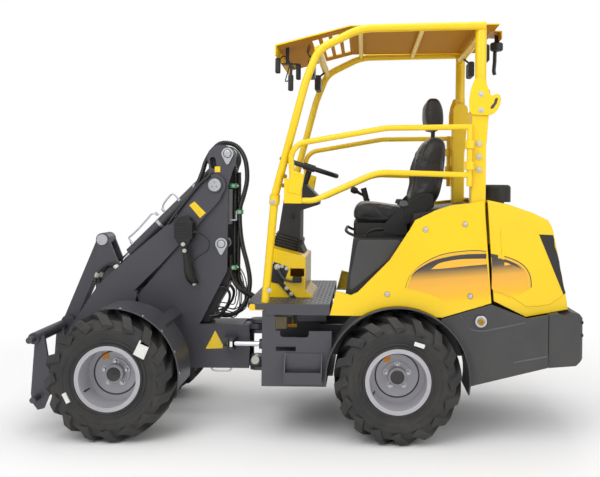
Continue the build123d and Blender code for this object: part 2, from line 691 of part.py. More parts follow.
def steer_fork(z, x, y):
    """Steering cylinder's base lugs above and below its eye, on a bracket from the spread plate."""
    gap = STEER_EYE_WIDTH / 2 + RUNNING_GAP / 2
    root = SPINE_FRONT_X - SPINE_LENGTH
    lugs = []
    for sign in (1, -1):
        low = z + sign * (gap + STEER_LUG_WALL / 2) - STEER_LUG_WALL / 2
        plate = block(root, x, y - STEER_EYE_RADIUS, y + STEER_EYE_RADIUS, low, low + STEER_LUG_WALL)
        lugs.append(plate + post(x, y, low, low + STEER_LUG_WALL, STEER_EYE_RADIUS))
    pin = post(x, y, z - gap - STEER_LUG_WALL, z + gap + STEER_LUG_WALL, STEER_PIN_DIAMETER / 2)
    return lugs[0] + lugs[1] + pin


def rear_body():
    """Pieces that are fixed to the rear frame."""
    write("rear_frame", rear_frame())
    write("rear_axle", axle(0.0) + axle_pad(0.0, RAIL_HALF_WIDTH - RAIL_WALL / 2, RAIL_WALL))
    write("deck", deck())
    write("steps", both_sides(step()))
    write("side_panels", both_sides(side_panel()))
    write("lower_covers", both_sides(lower_cover()))
    write("counterweight", counterweight())
    write("rear_mudguards", both_sides(mudguard(
        0.0, TYRE_REAR_ARCH, REAR_GUARD_START, REAR_GUARD_END, REAR_GUARD_INNER, REAR_GUARD_OUTER)))
    write("engine_block", block(
        ENGINE_FRONT_X - ENGINE_LENGTH, ENGINE_FRONT_X, -ENGINE_WIDTH / 2, ENGINE_WIDTH / 2,
        rise(RAIL_RISE) + CROSS_TUBE_HEIGHT, rise(RAIL_RISE) + CROSS_TUBE_HEIGHT + ENGINE_HEIGHT))
    write("seat_box", seat_box())
    write("seat_pan", seat_pan())
    write("seat_cushion", seat_cushion())
    write("seat_back", seat_back())
    write("armrest", armrest())
    write("dash_box", dash_box())
    write("column_cover", column_cover())
    write("front_posts", both_sides(front_post()))
    write("rear_posts", both_sides(rear_post()))


def mudguard(x, gap, start, end, y_inner, y_outer):
    """Curved mudguard about an axle, from one angle to another, with a lip at its outer edge."""
    inner = AXLE_Z + gap
    ring = arch(inner + MUDGUARD_WALL, x, y_inner, y_outer) - arch(
        inner, x, y_inner - CUT_OVER, y_outer + CUT_OVER)
    reach = 2 * inner
    middle = math.radians((start + end) / 2 + 180)
    spread = math.radians((360 - (end - start)) / 2)
    fan = [(x, AXLE_Z)]
    for share in (-1.0, -0.5, 0.0, 0.5, 1.0):
        angle = middle + share * spread
        fan.append((x + reach * math.cos(angle), AXLE_Z + reach * math.sin(angle)))
    return ring - side_plate(fan, y_inner - CUT_OVER, y_outer + CUT_OVER)


def deck():
    """Tread deck with turned-down lips and a rounded front apron."""
    top = rise(DECK_RISE)
    plate = block(DECK_REAR_X, DECK_FRONT_X, -DECK_HALF_WIDTH, DECK_HALF_WIDTH, top - DECK_LIP, top)
    hollow = block(
        DECK_REAR_X + DECK_WALL, DECK_FRONT_X - DECK_WALL, DECK_WALL - DECK_HALF_WIDTH,
        DECK_HALF_WIDTH - DECK_WALL, top - DECK_LIP - CUT_OVER, top - DECK_WALL)
    spine_way = block(
        DECK_REAR_X - CUT_OVER, DECK_FRONT_X + CUT_OVER, -SPINE_HALF_WIDTH - SEAT_GAP,
        SPINE_HALF_WIDTH + SEAT_GAP, top - DECK_LIP - CUT_OVER, top - DECK_WALL)
    outer = DECK_FRONT_X + APRON_LENGTH
    apron = block(
        DECK_FRONT_X - DECK_WALL, outer, -DECK_HALF_WIDTH, DECK_HALF_WIDTH, top - APRON_HEIGHT, top)
    apron = fillet(apron.edges().filter_by(Axis.Z).group_by(Axis.X)[-1], APRON_RADIUS)
    apron_hollow = block(
        DECK_FRONT_X - DECK_WALL - CUT_OVER, outer - DECK_WALL, DECK_WALL - DECK_HALF_WIDTH,
        DECK_HALF_WIDTH - DECK_WALL, top - APRON_HEIGHT - CUT_OVER, top - DECK_WALL)
    apron_hollow = fillet(
        apron_hollow.edges().filter_by(Axis.Z).group_by(Axis.X)[-1], APRON_RADIUS - DECK_WALL)
    side_ways = both_sides(block(
        FRAME_FRONT_X - SIDE_PLATE_LENGTH * 0.16 - SEAT_GAP, FRAME_FRONT_X + SEAT_GAP,
        FRAME_HALF_WIDTH - FRAME_PLATE - SEAT_GAP, FRAME_HALF_WIDTH + SEAT_GAP,
        top - DECK_LIP - CUT_OVER, top - DECK_WALL))
    return plate - hollow + (apron - apron_hollow) - spine_way - side_ways


def step():
    """Left entry step: a folded tray bolted to the side plate."""
    rear = STEP_FRONT_X - STEP_LENGTH
    low = rise(-STEP_BOTTOM_DROP)
    inner = FRAME_HALF_WIDTH
    back = block(rear, STEP_FRONT_X, inner, inner + STEP_WALL, low, low + STEP_HEIGHT)
    tread = block(
        rear, STEP_FRONT_X, inner, inner + STEP_DEPTH, low + STEP_TREAD_RISE,
        low + STEP_TREAD_RISE + STEP_WALL)
    lip = block(
        rear, STEP_FRONT_X, inner + STEP_DEPTH - STEP_WALL, inner + STEP_DEPTH, low,
        low + STEP_TREAD_RISE * 2)
    cheek_shape = [
        (inner, low), (inner + STEP_DEPTH, low), (inner + STEP_DEPTH, low + STEP_TREAD_RISE * 2),
        (inner + STEP_WALL, low + STEP_HEIGHT), (inner, low + STEP_HEIGHT)]
    cheek = extrude(Plane.YZ * flat(cheek_shape), amount=STEP_WALL)
    return back + tread + lip + Pos(rear, 0, 0) * cheek + Pos(STEP_FRONT_X - STEP_WALL, 0, 0) * cheek


def side_panel():
    """Left side panel with its wheel arch."""
    corners = from_shares(PANEL_SHARES, PANEL_REAR_X, rise(PANEL_LOW_RISE), PANEL_LENGTH, PANEL_HEIGHT)
    radius = AXLE_Z + TYRE_REAR_ARCH + MUDGUARD_WALL + SEAT_GAP
    return dish(corners, PANEL_OUT, PANEL_RIM, PANEL_WALL, (radius, 0.0))


def lower_cover():
    """Left lower cover behind the rear wheel, with the filler cap."""
    corners = from_shares(COVER_SHARES, COVER_REAR_X, rise(COVER_LOW_RISE), COVER_LENGTH, COVER_HEIGHT)
    radius = AXLE_Z + TYRE_REAR_ARCH + MUDGUARD_WALL + SEAT_GAP
    panel = flat(from_shares(PANEL_SHARES, PANEL_REAR_X, rise(PANEL_LOW_RISE), PANEL_LENGTH, PANEL_HEIGHT))
    seam = offset(panel, REAR_SEAM, kind=Kind.INTERSECTION)
    shell = dish(corners, PANEL_OUT, PANEL_RIM, COVER_WALL, (radius, 0.0))
    shell = shell - Pos(0, PANEL_OUT + CUT_OVER, 0) * extrude(Plane.XZ * seam, amount=PANEL_RIM + 2 * CUT_OVER)
    cap_place = (COVER_REAR_X + COVER_LENGTH * 0.627, rise(COVER_LOW_RISE) + COVER_HEIGHT * 0.77)
    return shell + cross_bar(cap_place, FILLER_DIAMETER / 2, PANEL_OUT - COVER_WALL, PANEL_OUT + FILLER_LENGTH)


def counterweight():
    """Cast rear weight across the tail of the frame."""
    front = COVER_REAR_X - REAR_SEAM
    corners = from_shares(
        WEIGHT_REAR_SHARES, front - WEIGHT_LENGTH, rise(WEIGHT_LOW_RISE), WEIGHT_LENGTH, WEIGHT_HEIGHT)
    body = side_plate(corners, -WEIGHT_HALF_WIDTH, WEIGHT_HALF_WIDTH)
    envelope = block(
        front - WEIGHT_LENGTH, front + WEIGHT_CORNER * 2, -WEIGHT_HALF_WIDTH, WEIGHT_HALF_WIDTH,
        rise(WEIGHT_LOW_RISE), rise(WEIGHT_LOW_RISE) + WEIGHT_HEIGHT)
    envelope = fillet(envelope.edges().filter_by(Axis.Z).group_by(Axis.X)[0], WEIGHT_CORNER)
    pivot = (HOOD_PIVOT_X, rise(HOOD_PIVOT_RISE))
    hood_heel = (HOOD_FRONT_X - HOOD_LENGTH, rise(HOOD_LOW_RISE) + HOOD_HEIGHT * 0.067)
    sweep_radius = math.dist(pivot, hood_heel) + RUNNING_GAP
    groove = cross_bar(pivot, sweep_radius, -WEIGHT_HALF_WIDTH - CUT_OVER, WEIGHT_HALF_WIDTH + CUT_OVER)
    wall = HOOD_KNUCKLE_WALL
    root = block(
        pivot[0] - HOOD_KNUCKLE_RADIUS, pivot[0] + HOOD_KNUCKLE_RADIUS, HOOD_KNUCKLE_Y, HOOD_KNUCKLE_Y + wall,
        pivot[1] - sweep_radius - HOOD_KNUCKLE_RADIUS, pivot[1])
    lug = root + cross_bar(pivot, HOOD_KNUCKLE_RADIUS, HOOD_KNUCKLE_Y, HOOD_KNUCKLE_Y + wall)
    pin = cross_bar(pivot, HOOD_PIVOT_DIAMETER / 2, HOOD_KNUCKLE_Y, HOOD_KNUCKLE_Y + 3 * wall)
    return (body & envelope) - groove + both_sides(lug + pin)


def hood_form(inset):
    """Outer form of the hood, or the form that lies inset inside it."""
    corners = from_shares(
        HOOD_SHARES, HOOD_FRONT_X - HOOD_LENGTH, rise(HOOD_LOW_RISE), HOOD_LENGTH, HOOD_HEIGHT)
    face = flat(corners)
    if inset:
        face = offset(face, -inset, kind=Kind.INTERSECTION)
    half = HOOD_HALF_WIDTH - inset
    body = Pos(0, half, 0) * extrude(Plane.XZ * face, amount=2 * half)
    rear = HOOD_FRONT_X - HOOD_LENGTH
    low = rise(HOOD_LOW_RISE) - CUT_OVER
    plan = flat([
        (HOOD_FRONT_X + CUT_OVER, half), (rear, half - HOOD_TAPER), (rear, HOOD_TAPER - half),
        (HOOD_FRONT_X + CUT_OVER, -half)])
    envelope = extrude(Pos(0, 0, low) * plan, amount=HOOD_HEIGHT + 2 * CUT_OVER)
    return body & envelope


def hood_body():
    """Hinged hood shell with its rear grille and the air cleaner's cap."""
    front = HOOD_FRONT_X
    window_low = rise(GRILLE_LOW_RISE)
    window = block(
        front - HOOD_LENGTH - CUT_OVER, front - HOOD_LENGTH * 0.7, -GRILLE_HALF_WIDTH,
        GRILLE_HALF_WIDTH, window_low, window_low + GRILLE_HEIGHT * 0.8)
    core = hood_form(HOOD_WALL)
    shell = hood_form(0) - core
    for forward, down in ((2, 0), (0, 2), (2, 2)):
        shell = shell - Pos(forward * HOOD_WALL, 0, -down * HOOD_WALL) * core
    pivot = (HOOD_PIVOT_X, rise(HOOD_PIVOT_RISE))
    near = HOOD_KNUCKLE_Y + HOOD_KNUCKLE_WALL + RUNNING_GAP
    far = near + HOOD_KNUCKLE_WALL
    web = block(
        front - HOOD_LENGTH + HOOD_WALL, pivot[0], near, far, pivot[1], pivot[1] + 2 * HOOD_KNUCKLE_RADIUS)
    knuckle = web + cross_bar(pivot, HOOD_KNUCKLE_RADIUS, near, far)
    knuckle = knuckle - cross_bar(pivot, (HOOD_PIVOT_DIAMETER + PIN_GAP) / 2, near - CUT_OVER, far + CUT_OVER)
    lug_way = block(
        front - HOOD_LENGTH - CUT_OVER, pivot[0], HOOD_KNUCKLE_Y - RUNNING_GAP, near,
        rise(HOOD_LOW_RISE) - CUT_OVER, pivot[1] + HOOD_KNUCKLE_RADIUS + RUNNING_GAP)
    side_face = flat(from_shares(
        HOOD_SIDE_SHARES, front - HOOD_LENGTH, rise(HOOD_LOW_RISE), HOOD_LENGTH, HOOD_HEIGHT))
    write("hood", shell - window - both_sides(lug_way + side_region(side_face)) + both_sides(knuckle))
    skin = hood_form(HOOD_WALL / 4) - hood_form(HOOD_WALL)
    write("hood_grille", skin & grow_window(window_low))
    write("hood_side_grilles", both_sides(skin & side_bars(side_face)))
    write("air_cleaner", air_cleaner())


def side_region(face):
    """Region through the hood's left wall with a side-view outline."""
    outer = HOOD_HALF_WIDTH + CUT_OVER
    inner = HOOD_HALF_WIDTH - HOOD_TAPER - 3 * HOOD_WALL
    return Pos(0, outer, 0) * extrude(Plane.XZ * face, amount=outer - inner)


def side_bars(face):
    """Frame and upright bars of the left side grille, a seat gap inside its window."""
    outline = offset(face, -SEAT_GAP, kind=Kind.INTERSECTION)
    inside = offset(face, -GRILLE_BAR, kind=Kind.INTERSECTION)
    bars = side_region(outline) - side_region(inside)
    rear = HOOD_FRONT_X - HOOD_LENGTH
    low = rise(HOOD_LOW_RISE)
    for index in range(SIDE_BAR_COUNT):
        x = rear + HOOD_LENGTH * HOOD_SIDE_SHARES[0][0] - GRILLE_BAR * 2.6 * (index + 1)
        bars = bars + block(x - GRILLE_BAR / 2, x + GRILLE_BAR / 2, 0, HOOD_HALF_WIDTH + CUT_OVER, low, low + HOOD_HEIGHT)
    return bars & side_region(outline)


def grow_window(window_low):
    """Region of the rear grille's frame and bars, a seat gap inside its window."""
    rear = HOOD_FRONT_X - HOOD_LENGTH - CUT_OVER
    front = HOOD_FRONT_X - HOOD_LENGTH * 0.7
    height = GRILLE_HEIGHT * 0.8
    half = GRILLE_HALF_WIDTH - SEAT_GAP
    frame = block(rear, front, -half, half, window_low + SEAT_GAP, window_low + height - SEAT_GAP)
    inner = block(
        rear - CUT_OVER, front + CUT_OVER, GRILLE_BAR - half, half - GRILLE_BAR,
        window_low + GRILLE_BAR, window_low + height - GRILLE_BAR)
    frame = frame - inner
    pitch = height / (GRILLE_COUNT + 1)
    for index in range(GRILLE_COUNT):
        z = window_low + pitch * (index + 1)
        frame = frame + block(rear, front, -half, half, z - GRILLE_BAR / 2, z + GRILLE_BAR / 2)
    return frame


def air_cleaner():
    """Round air cleaner cap on a stem above the hood."""
    low = rise(CLEANER_RISE)
    cap = post(CLEANER_X, 0, low, low + CLEANER_HEIGHT, CLEANER_DIAMETER / 2)
    cap = fillet(cap.edges().filter_by(GeomType.CIRCLE).group_by(Axis.Z)[-1], CLEANER_HEIGHT / 5)
    stem = post(CLEANER_X, 0, low - CLEANER_HEIGHT / 2, low, CLEANER_STEM_DIAMETER / 2)
    return (cap + stem) - hood_form(0)


# Operator's place
def seat_box():
    """Moulded seat base and engine bulkhead, open below."""
    corners = from_shares(
        SEAT_BOX_SHARES, SEAT_BOX_FRONT_X - SEAT_BOX_LENGTH, rise(DECK_RISE), SEAT_BOX_LENGTH,
        SEAT_BOX_HEIGHT)
    face = flat(corners)
    inner = offset(face, -SEAT_BOX_WALL, kind=Kind.INTERSECTION)
    half = SEAT_BOX_HALF_WIDTH
    body = Pos(0, half, 0) * extrude(Plane.XZ * face, amount=2 * half)
    hollow_half = half - SEAT_BOX_WALL
    hollow = Pos(0, hollow_half, 0) * extrude(Plane.XZ * inner, amount=2 * hollow_half)
    post_ways = both_sides(block(
        SEAT_BOX_FRONT_X - SEAT_BOX_LENGTH - CUT_OVER, REAR_CROSS_X + REAR_POST_WIDTH / 2 + SEAT_GAP,
        REAR_POST_Y - REAR_POST_WIDTH / 2 - SEAT_GAP, half + CUT_OVER,
        rise(DECK_RISE), rise(DECK_RISE) + SEAT_BOX_HEIGHT + CUT_OVER))
    return body - hollow - post_ways


def seat_pan():
    """Seat's suspension and moulded pan on the seat box."""
    low = rise(SEAT_PAN_RISE)
    pan = block(
        SEAT_PAN_REAR_X, SEAT_PAN_REAR_X + SEAT_PAN_LENGTH, -SEAT_HALF_WIDTH, SEAT_HALF_WIDTH,
        low, low + SEAT_PAN_HEIGHT)
    pan = fillet(pan.edges().filter_by(Axis.Z), SEAT_EDGE)
    foot_low = rise(DECK_RISE) + SEAT_BOX_HEIGHT * 0.65
    foot = block(
        SEAT_PAN_REAR_X + SEAT_EDGE, SEAT_PAN_REAR_X + SEAT_PAN_LENGTH - SEAT_EDGE,
        -SUSPENSION_HALF_WIDTH, SUSPENSION_HALF_WIDTH, foot_low, low)
    high = rise(BACK_LOW_RISE) + BACK_HEIGHT * 0.14
    recliner = side_plate([
        (SEAT_PAN_REAR_X + SEAT_PAN_LENGTH * 0.45, low + SEAT_PAN_HEIGHT * 0.25),
        (SEAT_PAN_REAR_X + SEAT_EDGE * 0.2, low + SEAT_PAN_HEIGHT * 0.1),
        (SEAT_PAN_REAR_X + SEAT_EDGE * 0.2, rise(BACK_LOW_RISE) + BACK_HEIGHT * 0.02),
        (BACK_REAR_X + BACK_LENGTH * 0.55, rise(BACK_LOW_RISE) + BACK_HEIGHT * 0.05),
        (BACK_REAR_X + BACK_LENGTH * 0.55, high), (BACK_REAR_X + BACK_LENGTH * 0.85, high),
        (SEAT_PAN_REAR_X + SEAT_PAN_LENGTH * 0.45, low + SEAT_PAN_HEIGHT * 0.9)],
        SEAT_HALF_WIDTH, SEAT_HALF_WIDTH + RECLINER_WALL)
    return pan + foot + both_sides(recliner)


def seat_cushion():
    """Seat cushion as one soft solid."""
    low = rise(SEAT_PAN_RISE) + SEAT_PAN_HEIGHT + SEAT_GAP
    pad = block(
        CUSHION_REAR_X, CUSHION_REAR_X + CUSHION_LENGTH, -SEAT_HALF_WIDTH, SEAT_HALF_WIDTH,
        low, low + CUSHION_HEIGHT)
    return fillet(pad.edges().filter_by(Axis.Z) + pad.edges().group_by(Axis.Z)[-1], SEAT_EDGE)


def seat_back():
    """Seat back with headrest as one soft solid behind the cushion."""
    corners = from_shares(BACK_SHARES, BACK_REAR_X, rise(BACK_LOW_RISE), BACK_LENGTH, BACK_HEIGHT)
    back = side_plate(corners, SEAT_GAP - SEAT_HALF_WIDTH, SEAT_HALF_WIDTH - SEAT_GAP)
    clear = block(
        SEAT_PAN_REAR_X - SEAT_GAP, SEAT_PAN_REAR_X + SEAT_PAN_LENGTH, -SEAT_HALF_WIDTH - CUT_OVER,
        SEAT_HALF_WIDTH + CUT_OVER, rise(BACK_LOW_RISE) - BACK_HEIGHT,
        rise(SEAT_PAN_RISE) + SEAT_PAN_HEIGHT + CUSHION_HEIGHT + 2 * SEAT_GAP)
    neck_low = rise(BACK_LOW_RISE) + BACK_HEIGHT * 0.72
    neck_cut = both_sides(block(
        BACK_REAR_X - CUT_OVER, BACK_REAR_X + BACK_LENGTH + CUT_OVER, SEAT_HALF_WIDTH * 0.62,
        SEAT_HALF_WIDTH + CUT_OVER, neck_low, rise(BACK_LOW_RISE) + BACK_HEIGHT + CUT_OVER))
    return back - clear - neck_cut


def armrest():
    """Right armrest pod with the loader's joystick."""
    top_z = rise(DECK_RISE) + SEAT_BOX_HEIGHT * 0.65
    rear = ARMREST_FRONT_X - ARMREST_LENGTH
    inner = ARMREST_OUTER_Y - ARMREST_WIDTH
    pod_low = rise(SEAT_PAN_RISE) + SEAT_PAN_HEIGHT
    stand = block(
        rear + ARMREST_LENGTH / 4, ARMREST_FRONT_X - ARMREST_LENGTH / 4,
        -ARMREST_OUTER_Y + ARMREST_WIDTH / 4, -inner - ARMREST_WIDTH / 4, top_z, pod_low)
    pod = block(rear, ARMREST_FRONT_X, -ARMREST_OUTER_Y, -inner, pod_low, pod_low + ARMREST_HEIGHT)
    pod = fillet(pod.edges().filter_by(Axis.Z), ARMREST_WIDTH / 4)
    middle_y = -ARMREST_OUTER_Y + ARMREST_WIDTH / 2
    stick_x = ARMREST_FRONT_X - ARMREST_WIDTH / 2
    stick = round_bar(
        (stick_x, middle_y, pod_low + ARMREST_HEIGHT / 2),
        (stick_x + JOYSTICK_HEIGHT / 3, middle_y, pod_low + ARMREST_HEIGHT + JOYSTICK_HEIGHT),
        JOYSTICK_DIAMETER / 2)
    return stand + pod + stick


def dash_box():
    """Folded sheet box under the steering column, with a window through its cheeks."""
    corners = from_shares(DASH_SHARES, DASH_REAR_X, rise(DECK_RISE), DASH_LENGTH, DASH_HEIGHT)
    face = flat(corners)
    inner = offset(face, -DASH_WALL, kind=Kind.INTERSECTION)
    body = side_plate(corners, DASH_RIGHT, DASH_LEFT)
    hollow_width = DASH_LEFT - DASH_RIGHT - 2 * DASH_WALL
    hollow = Pos(0, DASH_LEFT - DASH_WALL, 0) * extrude(Plane.XZ * inner, amount=hollow_width)
    window_x = DASH_REAR_X + DASH_LENGTH * 0.20
    window_z = rise(DECK_RISE) + DASH_HEIGHT * 0.42
    window = block(
        window_x, window_x + DASH_WINDOW_LENGTH, DASH_RIGHT - CUT_OVER, DASH_LEFT + CUT_OVER,
        window_z, window_z + DASH_WINDOW_HEIGHT)
    return body - hollow - window


def column_cover():
    """Moulded steering column cover with its bellows, and the shaft up to the wheel."""
    corners = from_shares(COLUMN_SHARES, COLUMN_REAR_X, rise(COLUMN_LOW_RISE), COLUMN_LENGTH, COLUMN_HEIGHT)
    body = side_plate(corners, -COLUMN_HALF_WIDTH, COLUMN_HALF_WIDTH)
    dash = from_shares(DASH_SHARES, DASH_REAR_X, rise(DECK_RISE), DASH_LENGTH, DASH_HEIGHT)
    body = body - side_plate(dash, DASH_RIGHT - CUT_OVER, DASH_LEFT + CUT_OVER)
    tilt = math.radians(STEERING_TILT)
    top = (STEERING_X, 0, rise(STEERING_RISE) - STEERING_HUB_HEIGHT / 2)
    low = (STEERING_X + SHAFT_LENGTH * math.sin(tilt), 0, top[2] - SHAFT_LENGTH * math.cos(tilt))
    return body + round_bar(low, top, SHAFT_DIAMETER / 2) - steering_space()


def steering_space():
    """Space kept free round the steering wheel's hub."""
    reach = STEERING_HUB_DIAMETER / 2 + RUNNING_GAP
    return steering_place() * Cylinder(reach, STEERING_HUB_HEIGHT + PIN_GAP)


def steering_place():
    """Place of the steering wheel, leaning back to the operator."""
    return Pos(STEERING_X, 0, rise(STEERING_RISE)) * Rot(0, -STEERING_TILT, 0)


def steering_wheel():
    """Steering wheel: grip ring, hub and three spokes."""
    radius = (STEERING_WHEEL_DIAMETER - STEERING_GRIP) / 2
    grip = Torus(radius, STEERING_GRIP / 2)
    hub = Cylinder(STEERING_HUB_DIAMETER / 2, STEERING_HUB_HEIGHT)
    wheel = grip + hub
    for turn in (90, 210, 330):
        spoke = Pos(radius / 2, 0, 0) * Box(radius, STEERING_SPOKE, STEERING_SPOKE / 2)
        wheel = wheel + Rot(0, 0, turn) * spoke
    return steering_place() * wheel


# Protective frame
def front_post():
    """Left front post from the deck up to its socket collar."""
    foot = (FRONT_POST_FOOT_X, FRONT_POST_Y, rise(DECK_RISE) - DECK_WALL / 2)
    top = (FRONT_POST_TOP_X, FRONT_POST_Y, rise(FRONT_POST_TOP_RISE))
    down = (Vector(*foot) - Vector(*top)).normalized() * POST_COLLAR_HEIGHT
    tube = round_bar(foot, top, FRONT_POST_DIAMETER / 2)
    collar = round_bar(tuple(Vector(*top) + down), tuple(Vector(*top) - down), POST_COLLAR_DIAMETER / 2)
    above = block(
        FRONT_POST_TOP_X - POST_COLLAR_DIAMETER, FRONT_POST_TOP_X + POST_COLLAR_DIAMETER,
        FRONT_POST_Y - POST_COLLAR_DIAMETER, FRONT_POST_Y + POST_COLLAR_DIAMETER,
        top[2], top[2] + 2 * POST_COLLAR_HEIGHT)
    below = block(
        FRONT_POST_FOOT_X - FRONT_POST_DIAMETER, FRONT_POST_FOOT_X + FRONT_POST_DIAMETER,
        FRONT_POST_Y - FRONT_POST_DIAMETER, FRONT_POST_Y + FRONT_POST_DIAMETER,
        rise(DECK_RISE) - FRONT_POST_DIAMETER, rise(DECK_RISE))
    return tube + collar - below - above


def rear_post():
    """Left rear post, a square tube that stands on the cross member."""
    half = REAR_POST_WIDTH / 2
    low = rise(RAIL_RISE) + CROSS_TUBE_HEIGHT
    top = rise(REAR_POST_TOP_RISE)
    tube = block(REAR_CROSS_X - half, REAR_CROSS_X + half, REAR_POST_Y - half, REAR_POST_Y + half, low, top)
    core = block(
        REAR_CROSS_X - half + REAR_POST_WALL, REAR_CROSS_X + half - REAR_POST_WALL,
        REAR_POST_Y - half + REAR_POST_WALL, REAR_POST_Y + half - REAR_POST_WALL,
        low + REAR_POST_WALL, top - REAR_POST_WALL)
    tube = fillet(tube.edges().filter_by(Axis.Z), REAR_POST_WALL * 1.5)
    plate_out = REAR_POST_Y + half
    pivot = (CANOPY_PIVOT_X, rise(CANOPY_PIVOT_RISE))
    cheek_shape = [
        (REAR_CROSS_X - half, top - REAR_POST_WIDTH * 2), (REAR_CROSS_X + half, top - REAR_POST_WIDTH * 2),
        (pivot[0] + FOLD_PLATE_RADIUS, pivot[1]), (pivot[0] - FOLD_PLATE_RADIUS, pivot[1])]
    cheeks = []
    for y_low in (plate_out - FOLD_PLATE_WALL, REAR_POST_Y - half):
        cheek = side_plate(cheek_shape, y_low, y_low + FOLD_PLATE_WALL)
        cheeks.append(cheek + cross_bar(pivot, FOLD_PLATE_RADIUS, y_low, y_low + FOLD_PLATE_WALL))
    pin = cross_bar(pivot, FOLD_PIN_DIAMETER / 2, REAR_POST_Y - half, plate_out + FOLD_PLATE_WALL / 2)
    return (tube - core) + cheeks[0] + cheeks[1] + pin


def roof_points():
    """Side tube of the canopy from the front socket up and back over the seat."""
    top = rise(FRONT_POST_TOP_RISE) + SEAT_GAP
    rear = ROOF_REAR_X
    return [
        (FRONT_POST_TOP_X, ROOF_TUBE_Y, top),
        (rear + ROOF_LENGTH * 0.945, ROOF_TUBE_Y, top + ROOF_RISE * 0.26),
        (rear + ROOF_LENGTH * 0.86, ROOF_TUBE_Y, top + ROOF_RISE * 0.66),
        (rear + ROOF_LENGTH * 0.80, ROOF_TUBE_Y, top + ROOF_RISE * 0.85),
        (rear + ROOF_LENGTH * 0.60, ROOF_TUBE_Y, top + ROOF_RISE * 0.975),
        (rear, ROOF_TUBE_Y, top + ROOF_RISE),
    ]


def canopy():
    """Folding canopy: side tubes, rear legs with fold plates, cross tubes and roof sheet."""
    points = roof_points()
    first_run = Vector(*points[0]) - Vector(*points[1])
    foot = Vector(*points[0]) + first_run.normalized() * ROOF_TUBE_DIAMETER
    side = bent_tube([tuple(foot)] + points[1:], ROOF_TUBE_DIAMETER, [
        ROOF_LENGTH * 0.32, ROOF_LENGTH * 0.38, ROOF_LENGTH * 0.14, ROOF_LENGTH * 0.27])
    side = side - block(
        points[0][0] - 2 * ROOF_TUBE_DIAMETER, points[0][0] + 2 * ROOF_TUBE_DIAMETER,
        ROOF_TUBE_Y - ROOF_TUBE_DIAMETER, ROOF_TUBE_Y + ROOF_TUBE_DIAMETER,
        points[0][2] - 2 * ROOF_TUBE_DIAMETER, points[0][2])
    pivot = (CANOPY_PIVOT_X, rise(CANOPY_PIVOT_RISE))
    half = REAR_POST_WIDTH / 2
    leg_low = pivot[1] + FOLD_PLATE_RADIUS + RUNNING_GAP
    leg = post(CANOPY_PIVOT_X, REAR_POST_Y, leg_low, points[-1][2] - ROOF_TUBE_DIAMETER / 4, UPPER_POST_DIAMETER / 2)
    inner_half = half - FOLD_PLATE_WALL - RUNNING_GAP
    knuckle = cross_bar(pivot, FOLD_PLATE_RADIUS, REAR_POST_Y - inner_half, REAR_POST_Y + inner_half)
    bore = cross_bar(
        pivot, (FOLD_PIN_DIAMETER + PIN_GAP) / 2, REAR_POST_Y - half, REAR_POST_Y + half)
    web = block(
        pivot[0] - FOLD_PLATE_RADIUS * 0.6, pivot[0] + FOLD_PLATE_RADIUS * 0.6,
        REAR_POST_Y - inner_half, REAR_POST_Y + inner_half, pivot[1], leg_low + FOLD_PLATE_RADIUS / 2)
    left = side + leg + knuckle + web - bore
    top_z = points[-1][2]
    beam = round_bar(
        (CANOPY_PIVOT_X, -REAR_POST_Y, top_z - ROOF_TUBE_DIAMETER), (CANOPY_PIVOT_X, REAR_POST_Y, top_z - ROOF_TUBE_DIAMETER),
        ROOF_TUBE_DIAMETER / 2)
    brow = points[3]
    front = round_bar((brow[0], -ROOF_TUBE_Y, brow[2]), brow, ROOF_TUBE_DIAMETER / 2)
    rib_radius = ROOF_TUBE_DIAMETER / 3
    ribs = beam
    for place in (points[4][0], (points[4][0] + points[5][0]) / 2):
        rib_z = roof_under(points, place) - rib_radius - SEAT_GAP
        ribs = ribs + cross_bar((place, rib_z), rib_radius, -ROOF_TUBE_Y, ROOF_TUBE_Y)
    write("canopy_frame", both_sides(left) + ribs + front)
    write("roof", roof(points))
    write("canopy_lamps", canopy_lamps(points))


def roof_line(points):
    """Upper bend and rear end of the roof sheet's top, seen from the side."""
    edge = ROOF_TUBE_DIAMETER / 2
    bend = (points[4][0] + ROOF_LENGTH * 0.05, points[4][2] + edge)
    rear = (points[5][0] - ROOF_LENGTH * 0.07, points[5][2] + edge * 0.8)
    return bend, rear


def roof_under(points, x):
    """Height of the roof sheet's underside behind its bend."""
    bend, rear = roof_line(points)
    share = (x - bend[0]) / (rear[0] - bend[0])
    return bend[1] + share * (rear[1] - bend[1]) - ROOF_WALL


def roof(points):
    """Roof sheet between the side tubes, with a sloped visor and slots near the front."""
    bend, rear = roof_line(points)
    visor_x = points[3][0] + ROOF_LENGTH * 0.21
    brow_z = points[3][2]
    lip = ROOF_RISE * 0.03
    top = [
        (visor_x, brow_z - lip), (visor_x, brow_z + lip), bend, rear,
        (rear[0], rear[1] - ROOF_WALL), (bend[0], bend[1] - ROOF_WALL),
        (visor_x - ROOF_WALL, brow_z + lip - ROOF_WALL), (visor_x - ROOF_WALL, brow_z - lip)]
    sheet = side_plate(top, -ROOF_HALF_WIDTH, ROOF_HALF_WIDTH)
    pitch = ROOF_SLOT_WIDTH * 1.6
    first = points[4][0] + ROOF_LENGTH * 0.06
    for index in range(ROOF_SLOT_COUNT):
        x = first + pitch * index
        sheet = sheet - block(
            x, x + ROOF_SLOT_WIDTH, -ROOF_HALF_WIDTH * 0.72, ROOF_HALF_WIDTH * 0.72,
            points[3][2] - CUT_OVER, points[5][2] + ROOF_TUBE_DIAMETER)
    return sheet


